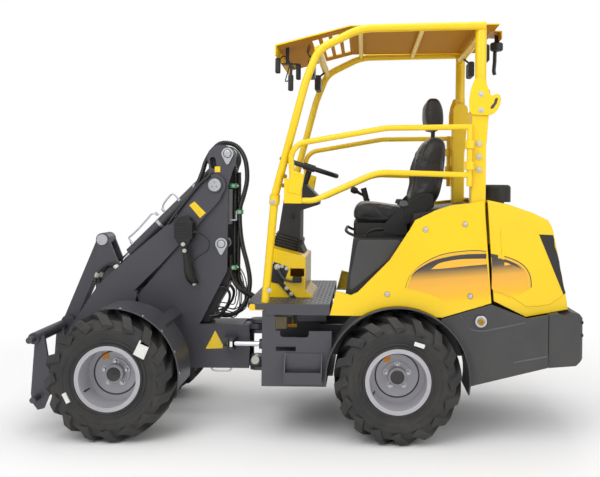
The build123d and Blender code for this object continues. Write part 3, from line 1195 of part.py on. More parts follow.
def canopy_lamps(points):
    """Two front lamps and two rear lamps on stems under the roof."""
    brow = points[3]
    lamps = []
    for x, z, sign in (
            (brow[0] + ROOF_TUBE_DIAMETER, brow[2] - ROOF_TUBE_DIAMETER, 1),
            (CANOPY_PIVOT_X - LAMP_DEPTH, points[5][2] - ROOF_TUBE_DIAMETER * 2, -1)):
        for y in (-ROOF_HALF_WIDTH * 0.55, ROOF_HALF_WIDTH * 0.75):
            body = block(
                x - LAMP_DEPTH / 2, x + LAMP_DEPTH / 2, y - LAMP_WIDTH / 2, y + LAMP_WIDTH / 2,
                z - LAMP_HEIGHT, z)
            body = chamfer(body.edges().filter_by(Axis.Y), LAMP_DEPTH / 5)
            stem = round_bar((x, y, z - LAMP_DEPTH / 4), (x - sign * ROOF_TUBE_DIAMETER, y, z + ROOF_TUBE_DIAMETER * 0.6), LAMP_DEPTH / 6)
            lamps.append(body + stem)
    frame_tubes = round_bar((brow[0], -ROOF_TUBE_Y, brow[2]), brow, ROOF_TUBE_DIAMETER / 2 + SEAT_GAP)
    top_z = points[-1][2]
    beam = round_bar(
        (CANOPY_PIVOT_X, -REAR_POST_Y, top_z - ROOF_TUBE_DIAMETER),
        (CANOPY_PIVOT_X, REAR_POST_Y, top_z - ROOF_TUBE_DIAMETER), ROOF_TUBE_DIAMETER / 2 + SEAT_GAP)
    return Compound(children=[lamp - frame_tubes - beam for lamp in lamps])


def guard():
    """Left side guard: two bent tubes from a latch box to an upright that carries the knuckles."""
    rear = GUARD_HINGE_X
    high = rise(GUARD_RISE)
    front = rear + GUARD_LENGTH
    box_low = high - GUARD_DROP * 0.40
    upper = bent_tube([
        (front - LATCH_LENGTH / 2, GUARD_Y, box_low + LATCH_HEIGHT / 2),
        (front - LATCH_LENGTH * 0.30, GUARD_Y, high + GUARD_DROP * 0.84),
        (rear + GUARD_LENGTH * 0.45, GUARD_Y, high + GUARD_DROP * 1.22),
        (rear, GUARD_Y, high + GUARD_DROP * 1.26)], GUARD_TUBE_DIAMETER, [GUARD_TOP_BEND, GUARD_TOP_CURVE])
    lower = bent_tube([
        (front - LATCH_LENGTH / 2, GUARD_Y, box_low + GUARD_TUBE_DIAMETER / 2),
        (front - LATCH_LENGTH * 1.7, GUARD_Y, box_low + GUARD_TUBE_DIAMETER / 2),
        (rear + GUARD_LENGTH * 0.50, GUARD_Y, high + GUARD_DROP * 0.28),
        (rear, GUARD_Y, high + GUARD_DROP * 0.24)], GUARD_TUBE_DIAMETER, [GUARD_LOW_BEND, GUARD_LOW_CURVE])
    upright = post(rear, GUARD_Y, high, high + GUARD_DROP * 1.26 + GUARD_TUBE_DIAMETER / 2, GUARD_TUBE_DIAMETER / 2)
    box = block(
        front - LATCH_LENGTH, front, GUARD_Y - LATCH_WIDTH / 2, GUARD_Y + LATCH_WIDTH / 2,
        box_low, box_low + LATCH_HEIGHT)
    return upper + lower + upright + box


def hinge_blocks():
    """Hinge blocks on the rear posts that the guards' uprights turn in."""
    high = rise(GUARD_RISE)
    blocks = []
    for z in (high + GUARD_DROP * 0.35, high + GUARD_DROP * 0.80):
        ring = post(GUARD_HINGE_X, GUARD_Y, z, z + KNUCKLE_HEIGHT, KNUCKLE_DIAMETER * 0.75)
        arm = block(
            REAR_CROSS_X + REAR_POST_WIDTH / 2, GUARD_HINGE_X, GUARD_Y - KNUCKLE_DIAMETER, GUARD_Y - KNUCKLE_DIAMETER / 2,
            z, z + KNUCKLE_HEIGHT)
        bore = post(GUARD_HINGE_X, GUARD_Y, z - CUT_OVER, z + KNUCKLE_HEIGHT + CUT_OVER, (GUARD_TUBE_DIAMETER + PIN_GAP) / 2)
        beside = block(
            REAR_CROSS_X - REAR_POST_WIDTH / 2, REAR_CROSS_X + REAR_POST_WIDTH / 2 + SEAT_GAP,
            REAR_POST_Y - REAR_POST_WIDTH / 2, REAR_POST_Y + REAR_POST_WIDTH / 2 + SEAT_GAP,
            z - CUT_OVER, z + KNUCKLE_HEIGHT + CUT_OVER)
        blocks.append((ring + arm) - bore - beside)
    return both_sides(blocks[0]) + both_sides(blocks[1])


# Front frame
def tower_cut(radius, place):
    """Bore through the tower's plates."""
    return cross_bar(place, radius, -TOWER_OUT - CUT_OVER, TOWER_OUT + CUT_OVER)


def front_frame():
    """Welded front frame: tower plates, box, hinge tongues and cylinder pin retainers."""
    base_x = PIVOT_AHEAD + CHEEK_AHEAD
    belly = rise(-BELLY_DROP)
    corners = from_shares(TOWER_SHARES, base_x, belly, TOWER_LENGTH, TOWER_HEIGHT)
    inner = TOWER_OUT - TOWER_PLATE
    head = (base_x + TOWER_LENGTH * TOWER_HEAD_SHARE, belly + TOWER_HEIGHT - TOWER_HEAD_RADIUS)
    plate = side_plate(corners, inner, TOWER_OUT) + cross_bar(head, TOWER_HEAD_RADIUS, inner, TOWER_OUT)
    wall_x = PIVOT_AHEAD + FRONT_WALL_AHEAD
    box_top = rise(BOX_RISE)
    slant_x = base_x + TOWER_LENGTH * 0.39
    roof_plate = block(wall_x, slant_x, -inner, inner, box_top - TOWER_WALL, box_top)
    floor_end = base_x + TOWER_LENGTH * 0.69
    floor = block(wall_x, floor_end, -inner, inner, belly, belly + TOWER_WALL)
    rear_wall = block(wall_x, wall_x + TOWER_WALL, -inner, inner, belly, box_top)
    back_x = base_x + TOWER_LENGTH * 0.19
    back = block(
        back_x, back_x + TOWER_WALL, -inner, inner, belly + TOWER_HEIGHT * 0.64, belly + TOWER_HEIGHT * 0.80)
    nose_x = base_x + TOWER_LENGTH
    nose = block(
        nose_x - TOWER_WALL, nose_x, -inner, inner, belly + TOWER_HEIGHT * 0.125, belly + TOWER_HEIGHT * 0.21)
    tongues = ear(wall_x, rise(UPPER_TONGUE_RISE), TONGUE_WALL) + ear(wall_x, rise(LOWER_TONGUE_RISE), TONGUE_WALL)
    bore = post(PIVOT_AHEAD, 0, 0, box_top + TOWER_HEIGHT, (PIVOT_PIN_DIAMETER + PIN_GAP) / 2)
    tongues = tongues - bore
    frame = both_sides(plate) + roof_plate + floor + rear_wall + back + nose
    for place, diameter in (
            (BOOM_PIVOT, BOOM_PIN_DIAMETER), (TILT_BASE, CYLINDER_PIN_DIAMETER),
            (LIFT_BASE, CYLINDER_PIN_DIAMETER)):
        frame = frame - tower_cut((diameter + PIN_GAP) / 2, ahead(place))
    slot_x = base_x + TOWER_LENGTH * 0.305
    slot_z = belly + TOWER_HEIGHT * 0.918
    slot = Pos(slot_x, 0, slot_z) * Rot(90, 0, 0) * extrude(
        SlotOverall(RETAINER_REACH * 1.1, CYLINDER_EYE_RADIUS, rotation=80), amount=TOWER_OUT * 2, both=True)
    return frame + tongues + steer_ears() + both_sides(retainers()) - slot


def retainers():
    """Drop-shaped pin retainers on the left tower plate."""
    plates = []
    for place in (ahead(TILT_BASE), ahead(LIFT_BASE)):
        drop = [
            (place[0] - RETAINER_RADIUS * 0.9, place[1] - RETAINER_RADIUS * 0.44),
            (place[0] + RETAINER_RADIUS * 0.9, place[1] - RETAINER_RADIUS * 0.44),
            (place[0] + RETAINER_RADIUS * 0.2, place[1] - RETAINER_REACH),
            (place[0] - RETAINER_RADIUS * 0.2, place[1] - RETAINER_REACH)]
        shape = side_plate(drop, TOWER_OUT, TOWER_OUT + RETAINER_WALL)
        plates.append(shape + cross_bar(place, RETAINER_RADIUS, TOWER_OUT, TOWER_OUT + RETAINER_WALL))
    return plates[0] + plates[1]


def steer_ears():
    """Lugs for the steering rod's eye on the front frame's left plate."""
    z = rise(STEER_RISE)
    x = PIVOT_AHEAD + STEER_EYE_AHEAD
    gap = STEER_EYE_WIDTH / 2 + RUNNING_GAP / 2
    lugs = []
    for sign in (1, -1):
        low = z + sign * (gap + STEER_LUG_WALL / 2) - STEER_LUG_WALL / 2
        plate = block(
            x - STEER_EYE_RADIUS, x + STEER_EYE_RADIUS * 2, TOWER_OUT, STEER_EYE_Y, low, low + STEER_LUG_WALL)
        lugs.append(plate + post(x, STEER_EYE_Y, low, low + STEER_LUG_WALL, STEER_EYE_RADIUS))
    return lugs[0] + lugs[1]


def front_body():
    """Pieces that are fixed to the front frame."""
    write("front_frame", front_frame())
    base_x = PIVOT_AHEAD + CHEEK_AHEAD
    plate_middle = TOWER_OUT - TOWER_PLATE / 2
    write("front_axle", axle(WHEELBASE) + axle_pad(WHEELBASE, plate_middle, TOWER_PLATE))
    guard_shell = mudguard(
        WHEELBASE, TYRE_FRONT_ARCH, FRONT_GUARD_START, FRONT_GUARD_END, FRONT_GUARD_INNER,
        FRONT_GUARD_OUTER)
    radius = AXLE_Z + TYRE_FRONT_ARCH + MUDGUARD_WALL
    arm = block(
        WHEELBASE - AXLE_PAD_LENGTH / 4, WHEELBASE + AXLE_PAD_LENGTH / 4, TOWER_OUT,
        FRONT_GUARD_OUTER * 0.8, AXLE_Z + radius - MUDGUARD_WALL / 2, AXLE_Z + radius + TOWER_WALL)
    turned = Pos(WHEELBASE, 0, AXLE_Z) * Rot(0, -FRONT_GUARD_ARM, 0) * Pos(-WHEELBASE, 0, -AXLE_Z) * arm
    write("front_mudguards", both_sides(guard_shell + turned))
    write("work_lamp", work_lamp())


def work_lamp():
    """Work lamp with a curved stem bolted to the left tower plate."""
    foot_x = WORK_LAMP_X - WORK_LAMP_DEPTH * 0.55
    foot_z = WORK_LAMP_Z - WORK_LAMP_HEIGHT * 2.5
    clear_y = BOOM_INNER + BOOM_PLATE + RUNNING_GAP
    arm_y = clear_y + WORK_LAMP_STEM
    stem = bent_tube([
        (foot_x, TOWER_OUT, foot_z), (foot_x, arm_y, foot_z),
        (foot_x + WORK_LAMP_STEM, arm_y, foot_z + WORK_LAMP_HEIGHT * 0.7),
        (WORK_LAMP_X, arm_y, WORK_LAMP_Z - WORK_LAMP_HEIGHT / 3)], WORK_LAMP_STEM, [WORK_LAMP_FOOT_BEND, WORK_LAMP_STEM_BEND])
    body = block(
        WORK_LAMP_X - WORK_LAMP_DEPTH / 2, WORK_LAMP_X + WORK_LAMP_DEPTH / 2, clear_y,
        clear_y + WORK_LAMP_WIDTH * 1.4, WORK_LAMP_Z - WORK_LAMP_HEIGHT / 2, WORK_LAMP_Z + WORK_LAMP_HEIGHT / 2)
    body = chamfer(body.edges().filter_by(Axis.Y), WORK_LAMP_DEPTH / 6)
    return stem + body


# Loader linkage
def boom():
    """Boom: two bent plates, a heel pin, cross tubes, a hub at the tip and cylinder bosses."""
    outer = BOOM_INNER + BOOM_PLATE
    pivot = ahead(BOOM_PIVOT)
    tip = carrier_pivot()
    corners = from_shares(
        BOOM_SHARES, pivot[0] - BOOM_HEEL_RADIUS, tip[1] - BOOM_PIN_DIAMETER, BOOM_LENGTH, BOOM_HEIGHT)
    eye = ahead(LIFT_EYE)
    lever_place = ahead(LEVER_PIVOT)
    plate = side_plate(corners, BOOM_INNER, outer)
    plate = plate + cross_bar(pivot, BOOM_HEEL_RADIUS, BOOM_INNER, outer)
    plate = plate + cross_bar(tip, BOOM_TIP_RADIUS, BOOM_INNER, outer)
    lug = side_plate([
        (eye[0] - LUG_RADIUS, eye[1]), (eye[0] + LUG_RADIUS, eye[1]),
        (eye[0] + LUG_RADIUS * 1.4, eye[1] + LUG_RADIUS * 2), (eye[0] - LUG_RADIUS * 1.4, eye[1] + LUG_RADIUS * 2)],
        BOOM_INNER, outer)
    plate = plate + lug + cross_bar(eye, LUG_RADIUS, CYLINDER_EYE_WIDTH / 2 + RUNNING_GAP, outer)
    lever_boss = cross_bar(lever_place, LUG_RADIUS, LEVER_OUT + RUNNING_GAP, BOOM_INNER)
    lever_bore = cross_bar(
        lever_place, (LEVER_PIN_DIAMETER + PIN_GAP) / 2, LEVER_OUT, BOOM_INNER - PIN_GAP)
    plate = plate + (lever_boss - lever_bore)
    tip_bore = cross_bar(
        tip, (LEVER_PIN_DIAMETER + PIN_GAP) / 2, BOOM_INNER - CUT_OVER, outer + CUT_OVER)
    head = cross_bar(pivot, BOOM_HEAD_DIAMETER / 2, outer, outer + BOOM_HEAD_WALL)
    side = both_sides(plate - tip_bore + head)
    pin = cross_bar(pivot, BOOM_PIN_DIAMETER / 2, -outer, outer)
    tie = cross_bar(boom_tie(), BOOM_CROSS_DIAMETER / 2, -BOOM_INNER, BOOM_INNER)
    lower_tie = cross_bar(boom_lower_tie(), BOOM_CROSS_DIAMETER / 3, -BOOM_INNER, BOOM_INNER)
    return side + pin + tie + lower_tie


def boom_tie():
    """Place of the main cross tube, behind the lever."""
    pivot = ahead(BOOM_PIVOT)
    lever_place = ahead(LEVER_PIVOT)
    return (pivot[0] * 0.26 + lever_place[0] * 0.74, pivot[1] * 0.26 + lever_place[1] * 0.74)


def boom_lower_tie():
    """Place of the small cross tube in the boom's gooseneck."""
    lever_place = ahead(LEVER_PIVOT)
    tip = carrier_pivot()
    front = BOOM_CROSS_DIAMETER * 0.2
    return ((lever_place[0] + tip[0]) / 2 + front, (lever_place[1] + tip[1]) / 2)


def lever_upper():
    """Place of the lever's upper pin."""
    low = ahead(LEVER_PIVOT)
    return (low[0] + LEVER_LEAN, low[1] + LEVER_RISE)


def lever_rod():
    """Place where the tilt rod's eye meets the lever."""
    low = ahead(LEVER_PIVOT)
    return (low[0] + TILT_BASE[0] - BOOM_PIVOT[0], low[1] + TILT_BASE[1] - BOOM_PIVOT[1])


def carrier_pivot():
    """Carrier's lower pivot on the boom's tip, so that link and boom stay parallel."""
    upper = ahead(CARRIER_UPPER)
    return (upper[0] - LEVER_LEAN, upper[1] - LEVER_RISE)


def lever():
    """Twin-plate lever from its pivot on the boom to the link, with the tilt rod's pin bosses."""
    low = ahead(LEVER_PIVOT)
    high = lever_upper()
    rod_place = lever_rod()
    inner = LEVER_OUT - LEVER_PLATE
    corners = [
        (low[0] - LINK_EYE_RADIUS, low[1]), (rod_place[0] - LINK_EYE_RADIUS * 0.7, rod_place[1] - LINK_EYE_RADIUS * 0.7),
        (rod_place[0] - LINK_EYE_RADIUS * 0.5, rod_place[1] + LINK_EYE_RADIUS * 0.8),
        (high[0] - LINK_EYE_RADIUS, high[1]), (high[0] + LINK_EYE_RADIUS, high[1]),
        (low[0] + LINK_EYE_RADIUS, low[1])]
    plate = side_plate(corners, inner, LEVER_OUT)
    for place in (low, high, rod_place):
        plate = plate + cross_bar(place, LINK_EYE_RADIUS, inner, LEVER_OUT)
    for place in (low, high):
        plate = plate - cross_bar(place, (LEVER_PIN_DIAMETER + PIN_GAP) / 2, inner - CUT_OVER, LEVER_OUT + CUT_OVER)
    boss = cross_bar(rod_place, CYLINDER_PIN_DIAMETER / 2, LEVER_OUT, LEVER_OUT + PIN_HEAD_WALL)
    sleeve = cross_bar(low, LINK_EYE_RADIUS, -inner, inner) - cross_bar(
        low, (LEVER_PIN_DIAMETER + PIN_GAP) / 2, -inner - CUT_OVER, inner + CUT_OVER)
    return both_sides(plate + boss) + sleeve


def link():
    """Single link from the lever's upper pin down to the carrier."""
    high = lever_upper()
    low = ahead(CARRIER_UPPER)
    axis = math.atan2(high[1] - low[1], high[0] - low[0])
    side = (-math.sin(axis) * LINK_WIDTH / 2, math.cos(axis) * LINK_WIDTH / 2)
    corners = [
        (low[0] + side[0], low[1] + side[1]), (low[0] - side[0], low[1] - side[1]),
        (high[0] - side[0], high[1] - side[1]), (high[0] + side[0], high[1] + side[1])]
    body = side_plate(corners, -LINK_OUT, LINK_OUT)
    for place in (high, low):
        body = body + cross_bar(place, LINK_EYE_RADIUS, -LINK_OUT, LINK_OUT)
    for place, gap in ((high, PIN_GAP), (low, RUNNING_GAP)):
        body = body - cross_bar(place, (LEVER_PIN_DIAMETER + gap) / 2, -LINK_OUT - CUT_OVER, LINK_OUT + CUT_OVER)
    return body


def link_pin():
    """Pin at the lever's upper end, with round heads."""
    place = lever_upper()
    pin = cross_bar(place, LEVER_PIN_DIAMETER / 2, -LEVER_OUT - PIN_GAP, LEVER_OUT + PIN_GAP)
    head = cross_bar(place, PIN_HEAD_DIAMETER / 2, LEVER_OUT + PIN_GAP, LEVER_OUT + PIN_GAP + PIN_HEAD_WALL)
    return pin + both_sides(head)


def carrier():
    """Tool carrier: side plates, top tube with stubs, ears for the boom's tip and the link."""
    upper = ahead(CARRIER_UPPER)
    lower = carrier_pivot()
    low_z = rise(-CARRIER_LOW_DROP)
    rear_x = WHEELBASE + CARRIER_REAR_AHEAD
    corners = from_shares(CARRIER_SHARES, rear_x, low_z, CARRIER_DEPTH, CARRIER_HEIGHT)
    outer = CARRIER_HALF_WIDTH
    plate = side_plate(corners, outer - CARRIER_PLATE, outer)
    bar_place = (
        rear_x + CARRIER_DEPTH * CARRIER_BAR_SHARE, low_z + CARRIER_HEIGHT - CARRIER_TUBE_DIAMETER * 0.35)
    inner_low = LINK_OUT + RUNNING_GAP
    tube = cross_bar(bar_place, CARRIER_TUBE_DIAMETER / 2, inner_low, outer + CARRIER_PLATE)
    stub = cross_bar(
        bar_place, CARRIER_STUB_DIAMETER / 2, outer + CARRIER_PLATE, outer + CARRIER_PLATE + CARRIER_STUB_LENGTH)
    ear_low = BOOM_INNER + BOOM_PLATE + RUNNING_GAP
    ear_shape = [
        (lower[0] - CARRIER_EAR_RADIUS, lower[1]), (lower[0], low_z),
        (rear_x + CARRIER_DEPTH, low_z + CARRIER_HEIGHT * 0.1), (rear_x + CARRIER_DEPTH, low_z + CARRIER_HEIGHT * 0.25),
        (bar_place[0], bar_place[1]), (bar_place[0] - CARRIER_EAR_RADIUS, bar_place[1])]
    ear_plate = side_plate(ear_shape, ear_low, ear_low + CARRIER_PLATE)
    ear_plate = ear_plate + cross_bar(lower, CARRIER_EAR_RADIUS, ear_low, ear_low + CARRIER_PLATE)
    ear_plate = ear_plate - cross_bar(lower, (LEVER_PIN_DIAMETER + PIN_GAP) / 2, ear_low - CUT_OVER, ear_low + CARRIER_PLATE + CUT_OVER)
    link_ear = side_plate([
        (upper[0] - CARRIER_EAR_RADIUS, upper[1]), (upper[0] - CARRIER_EAR_RADIUS / 2, upper[1] - CARRIER_EAR_RADIUS * 1.6),
        (bar_place[0], bar_place[1] - CARRIER_EAR_RADIUS * 1.8), (bar_place[0], bar_place[1]), (upper[0], upper[1])],
        inner_low, inner_low + CARRIER_PLATE)
    link_ear = link_ear + cross_bar(upper, CARRIER_EAR_RADIUS * 0.9, inner_low, inner_low + CARRIER_PLATE)
    upper_pin = cross_bar(upper, LEVER_PIN_DIAMETER / 2, -inner_low - CARRIER_PLATE, inner_low + CARRIER_PLATE)
    beam = block(
        rear_x + CARRIER_DEPTH * 0.55, rear_x + CARRIER_DEPTH * 0.80, ear_low + CARRIER_PLATE, outer - CARRIER_PLATE,
        low_z + CARRIER_HEIGHT * 0.10, low_z + CARRIER_HEIGHT * 0.32)
    lock = cross_bar(
        (rear_x + CARRIER_DEPTH * 0.62, low_z + CARRIER_HEIGHT * 0.17), LOCK_PIN_DIAMETER / 2, outer - CARRIER_PLATE,
        outer + LOCK_PIN_LENGTH)
    half = plate + tube + stub + ear_plate + link_ear + beam + lock
    return both_sides(half) + upper_pin


def carrier_pin():
    """Pivot pin through the boom's tip."""
    reach = BOOM_INNER + BOOM_PLATE + RUNNING_GAP + CARRIER_PLATE - PIN_GAP
    return cross_bar(carrier_pivot(), LEVER_PIN_DIAMETER / 2, -reach, reach)


def lever_pin():
    """Pivot pin of the lever between the boom's bosses."""
    reach = BOOM_INNER - 2 * PIN_GAP
    return cross_bar(ahead(LEVER_PIVOT), LEVER_PIN_DIAMETER / 2, -reach, reach)


# Cylinders, built along +X from the base eye and then placed
def barrel(diameter, rod, length, eye_radius, eye_width, pin, pin_reach):
    """Hollow barrel with a base eye, a gland and, where it has one, its base pin."""
    radius = diameter / 2
    bore = radius - CYLINDER_WALL
    start = eye_radius * 1.5
    neck = round_bar((0, 0, 0), (start + CYLINDER_WALL, 0, 0), eye_width / 2)
    tube = round_bar((start, 0, 0), (length, 0, 0), radius)
    tube = tube - round_bar((start + CYLINDER_WALL * 2, 0, 0), (length - CYLINDER_WALL * 2, 0, 0), bore)
    tube = tube - round_bar((length - CYLINDER_WALL * 3, 0, 0), (length + CUT_OVER, 0, 0), (rod + PIN_GAP) / 2)
    eye = cross_bar((0, 0), eye_radius, -eye_width / 2, eye_width / 2)
    if pin_reach:
        return tube + neck + eye + cross_bar((0, 0), pin / 2, -pin_reach, pin_reach)
    return tube + neck + eye - cross_bar((0, 0), (pin + PIN_GAP) / 2, -eye_width, eye_width)


def piston_rod(diameter, rod, inside, eye_at, eye_radius, eye_width):
    """Rod with its piston inside the barrel and an eye at its end."""
    bore = diameter / 2 - CYLINDER_WALL
    shaft = round_bar((inside, 0, 0), (eye_at - eye_radius * 0.5, 0, 0), rod / 2)
    piston = round_bar((inside, 0, 0), (inside + CYLINDER_WALL * 2, 0, 0), bore - SEAT_GAP)
    eye = cross_bar((eye_at, 0), eye_radius, -eye_width / 2, eye_width / 2)
    return shaft + piston + eye


def placed(solid, start, end):
    """Cylinder piece moved so that its base eye is at start and its axis runs to end."""
    angle = math.degrees(math.atan2(end[1] - start[1], end[0] - start[0]))
    return Pos(start[0], 0, start[1]) * Rot(0, -angle, 0) * solid


def cylinders():
    """Lift, tilt and steering cylinders."""
    lift_start, lift_end = ahead(LIFT_BASE), ahead(LIFT_EYE)
    lift_length = math.dist(lift_start, lift_end)
    write("lift_barrel", placed(barrel(
        LIFT_BARREL_DIAMETER, LIFT_ROD_DIAMETER, LIFT_BARREL_LENGTH, CYLINDER_EYE_RADIUS,
        CYLINDER_EYE_WIDTH, CYLINDER_PIN_DIAMETER, TOWER_OUT), lift_start, lift_end))
    write("lift_rod", placed(piston_rod(
        LIFT_BARREL_DIAMETER, LIFT_ROD_DIAMETER, LIFT_ROD_INSIDE, lift_length, CYLINDER_EYE_RADIUS,
        CYLINDER_EYE_WIDTH), lift_start, lift_end))
    tilt_start, tilt_end = ahead(TILT_BASE), lever_rod()
    tilt_length = math.dist(tilt_start, tilt_end)
    write("tilt_barrel", placed(barrel(
        TILT_BARREL_DIAMETER, TILT_ROD_DIAMETER, TILT_BARREL_LENGTH, CYLINDER_EYE_RADIUS,
        CYLINDER_EYE_WIDTH, CYLINDER_PIN_DIAMETER, 0), tilt_start, tilt_end))
    write("tilt_rod", placed(piston_rod(
        TILT_BARREL_DIAMETER, TILT_ROD_DIAMETER, TILT_ROD_INSIDE, tilt_length, CYLINDER_EYE_RADIUS * 0.9,
        CYLINDER_EYE_WIDTH), tilt_start, tilt_end))
    write("tilt_base_pin", cross_bar(tilt_start, CYLINDER_PIN_DIAMETER / 2, -TOWER_OUT, TOWER_OUT))
    steer_start = (STEER_BASE_X, STEER_BASE_Y)
    steer_end = (PIVOT_AHEAD + STEER_EYE_AHEAD, STEER_EYE_Y)
    steer_length = math.dist(steer_start, steer_end)
    angle = math.degrees(math.atan2(steer_end[1] - steer_start[1], steer_end[0] - steer_start[0]))
    place = Pos(steer_start[0], steer_start[1], rise(STEER_RISE)) * Rot(0, 0, angle) * Rot(90, 0, 0)
    write("steer_barrel", place * barrel(
        STEER_BARREL_DIAMETER, STEER_ROD_DIAMETER, STEER_BARREL_LENGTH, STEER_EYE_RADIUS,
        STEER_EYE_WIDTH, STEER_PIN_DIAMETER, 0))
    write("steer_rod", place * piston_rod(
        STEER_BARREL_DIAMETER, STEER_ROD_DIAMETER, STEER_ROD_INSIDE, steer_length, STEER_EYE_RADIUS,
        STEER_EYE_WIDTH))


def linkage():
    """Boom, lever, link, carrier and their pins."""
    write("boom", boom())
    write("lever_pin", lever_pin())
    write("lever", lever())
    write("link_pin", link_pin())
    write("link", link())
    write("carrier_pin", carrier_pin())
    write("carrier", carrier())


wheels()
rear_body()
hood_body()
canopy()
write("guard_left", guard())
write("guard_right", mirror(guard(), Plane.XZ))
write("guard_hinges", hinge_blocks())
write("steering_wheel", steering_wheel())
front_body()
linkage()
cylinders()
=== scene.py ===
"""Looks of the compact articulated wheel loader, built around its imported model.

Every class below is one sub-assembly of the machine. It holds its sizes as fields, makes its
meshes with numpy and dresses them with procedural finishes. Places are given in millimetres from
the rear axle's middle, and the helpers turn them into the frame's metres.
"""

from __future__ import annotations

import json
import logging
import math
from dataclasses import dataclass
from enum import Enum
from typing import Callable, Iterable, Sequence

import bmesh
import bpy
import numpy as np
from mathutils import Matrix, Vector


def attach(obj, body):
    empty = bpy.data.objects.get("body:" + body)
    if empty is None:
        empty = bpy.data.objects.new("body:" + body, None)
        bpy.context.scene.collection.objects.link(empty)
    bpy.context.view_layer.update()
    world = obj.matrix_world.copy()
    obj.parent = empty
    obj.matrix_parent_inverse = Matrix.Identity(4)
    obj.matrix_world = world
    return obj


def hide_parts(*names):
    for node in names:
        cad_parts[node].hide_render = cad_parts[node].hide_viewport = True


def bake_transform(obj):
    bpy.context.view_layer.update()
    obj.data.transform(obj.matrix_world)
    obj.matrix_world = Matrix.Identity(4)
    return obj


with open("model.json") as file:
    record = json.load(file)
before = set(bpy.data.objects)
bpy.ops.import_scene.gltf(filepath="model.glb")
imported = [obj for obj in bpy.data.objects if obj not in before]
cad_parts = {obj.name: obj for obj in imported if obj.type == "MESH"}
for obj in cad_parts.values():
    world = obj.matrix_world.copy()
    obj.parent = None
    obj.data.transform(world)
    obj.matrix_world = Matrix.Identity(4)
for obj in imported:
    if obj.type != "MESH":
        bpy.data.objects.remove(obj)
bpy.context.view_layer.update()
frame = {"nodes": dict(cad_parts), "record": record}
LOG = logging.getLogger("loader")

Array = np.ndarray
Point = tuple[float, float, float]
Colour = tuple[float, float, float]

MM = 0.001
REAR_AXLE = -0.48327
AXLE_HEIGHT = 332.0
WHEELBASE = 1480.0
PANEL_FACE = 460.0
TOWER_PINS = ((965.0, 1504.0), (995.0, 989.0))
BOOM_PIVOT = (1032.0, 1324.0)
SIDES = (1.0, -1.0)
NAMED_SIDES = ((1.0, "left"), (-1.0, "right"))


def at(x: float, y: float, z: float) -> Point:
    """Place given in millimetres from the rear axle's middle, in the frame's metres.

    Args:
        x: Distance ahead of the rear axle.
        y: Distance to the machine's left.
        z: Height above the ground.

    Returns:
        The same place in the frame's axes.
    """
    return (REAR_AXLE + x * MM, y * MM, z * MM)


class Slot(Enum):
    """Material slots of the record."""

    FRAME = "frame_grey"
    BODY = "body_yellow"
    DARK = "dark_plastic"
    DECK = "deck_dark"
    SEAT = "seat_cover"
    TYRE = "tyre_rubber"
    RIM = "rim_silver"
    STEEL = "pin_steel"
    ROD = "rod_chrome"
    IRON = "engine_iron"


# Shared shader groups
class Group:
    """A shader node group with named numbers in and out."""

    number = "NodeSocketFloat"

    def __init__(self, name: str) -> None:
        """Start an empty group.

        Args:
            name: Name of the group.
        """
        self.tree = bpy.data.node_groups.new(name, "ShaderNodeTree")
        self.source = self.tree.nodes.new("NodeGroupInput")
        self.sink = self.tree.nodes.new("NodeGroupOutput")

    def takes(self, name: str, value: float) -> object:
        """Add an input and return the socket that carries it inside the group.

        Args:
            name: Name of the input.
            value: Default value.

        Returns:
            The output socket of the group's input node.
        """
        item = self.tree.interface.new_socket(name, in_out="INPUT", socket_type=self.number)
        item.default_value = value
        return self.source.outputs[name]

    def gives(self, name: str, socket: object) -> None:
        """Add an output that is fed by a socket.

        Args:
            name: Name of the output.
            socket: Socket inside the group.
        """
        self.tree.interface.new_socket(name, in_out="OUTPUT", socket_type=self.number)
        self.tree.links.new(socket, self.sink.inputs[name])


def add_node(tree: object, kind: str, **inputs: object) -> object:
    """Add a node; a keyword p_NAME is a property, i0, i1, ... an input by number, others are inputs.

    Args:
        tree: Node tree.
        kind: Node type.
        **inputs: Properties, input values or sockets.

    Returns:
        The new node.
    """
    node = tree.nodes.new(kind)
    for key, value in inputs.items():
        if key.startswith("p_"):
            setattr(node, key[2:], value)
    for key, value in inputs.items():
        if key.startswith("p_"):
            continue
        name = key.replace("_", " ")
        socket = node.inputs[int(key[1:])] if key[0] == "i" and key[1:].isdigit() else node.inputs[name]
        if isinstance(value, bpy.types.NodeSocket):
            tree.links.new(value, socket)
        else:
            socket.default_value = value
    return node


def ramp_between(tree: object, socket: object, low: float, high: float) -> object:
    """Map a value from low..high to 0..1 with clamping.

    Args:
        tree: Node tree.
        socket: Value to map.
        low: Value that becomes 0.
        high: Value that becomes 1.

    Returns:
        The mapped value's socket.
    """
    node = add_node(tree, "ShaderNodeMapRange", Value=socket)
    node.inputs["From Min"].default_value = low
    node.inputs["From Max"].default_value = high
    return node.outputs["Result"]


def maths(tree: object, operation: str, *values: object, clamp: bool = False) -> object:
    """Add a maths node.

    Args:
        tree: Node tree.
        operation: Name of the operation.
        *values: Numbers or sockets, in the order of the node's inputs.
        clamp: Whether the result is held between 0 and 1.

    Returns:
        The result's socket.
    """
    inputs = {f"i{number}": value for number, value in enumerate(values)}
    return add_node(tree, "ShaderNodeMath", p_operation=operation, p_use_clamp=clamp, **inputs).outputs[0]


def mixed(tree: object, share: object, first: object, second: object) -> object:
    """Mix two colours.

    Args:
        tree: Node tree.
        share: Share of the second colour, a number or a socket.
        first: Colour or socket.
        second: Colour or socket.

    Returns:
        The mixed colour's socket.
    """
    return add_node(tree, "ShaderNodeMix", p_data_type="RGBA", i0=share, i6=first, i7=second).outputs[2]


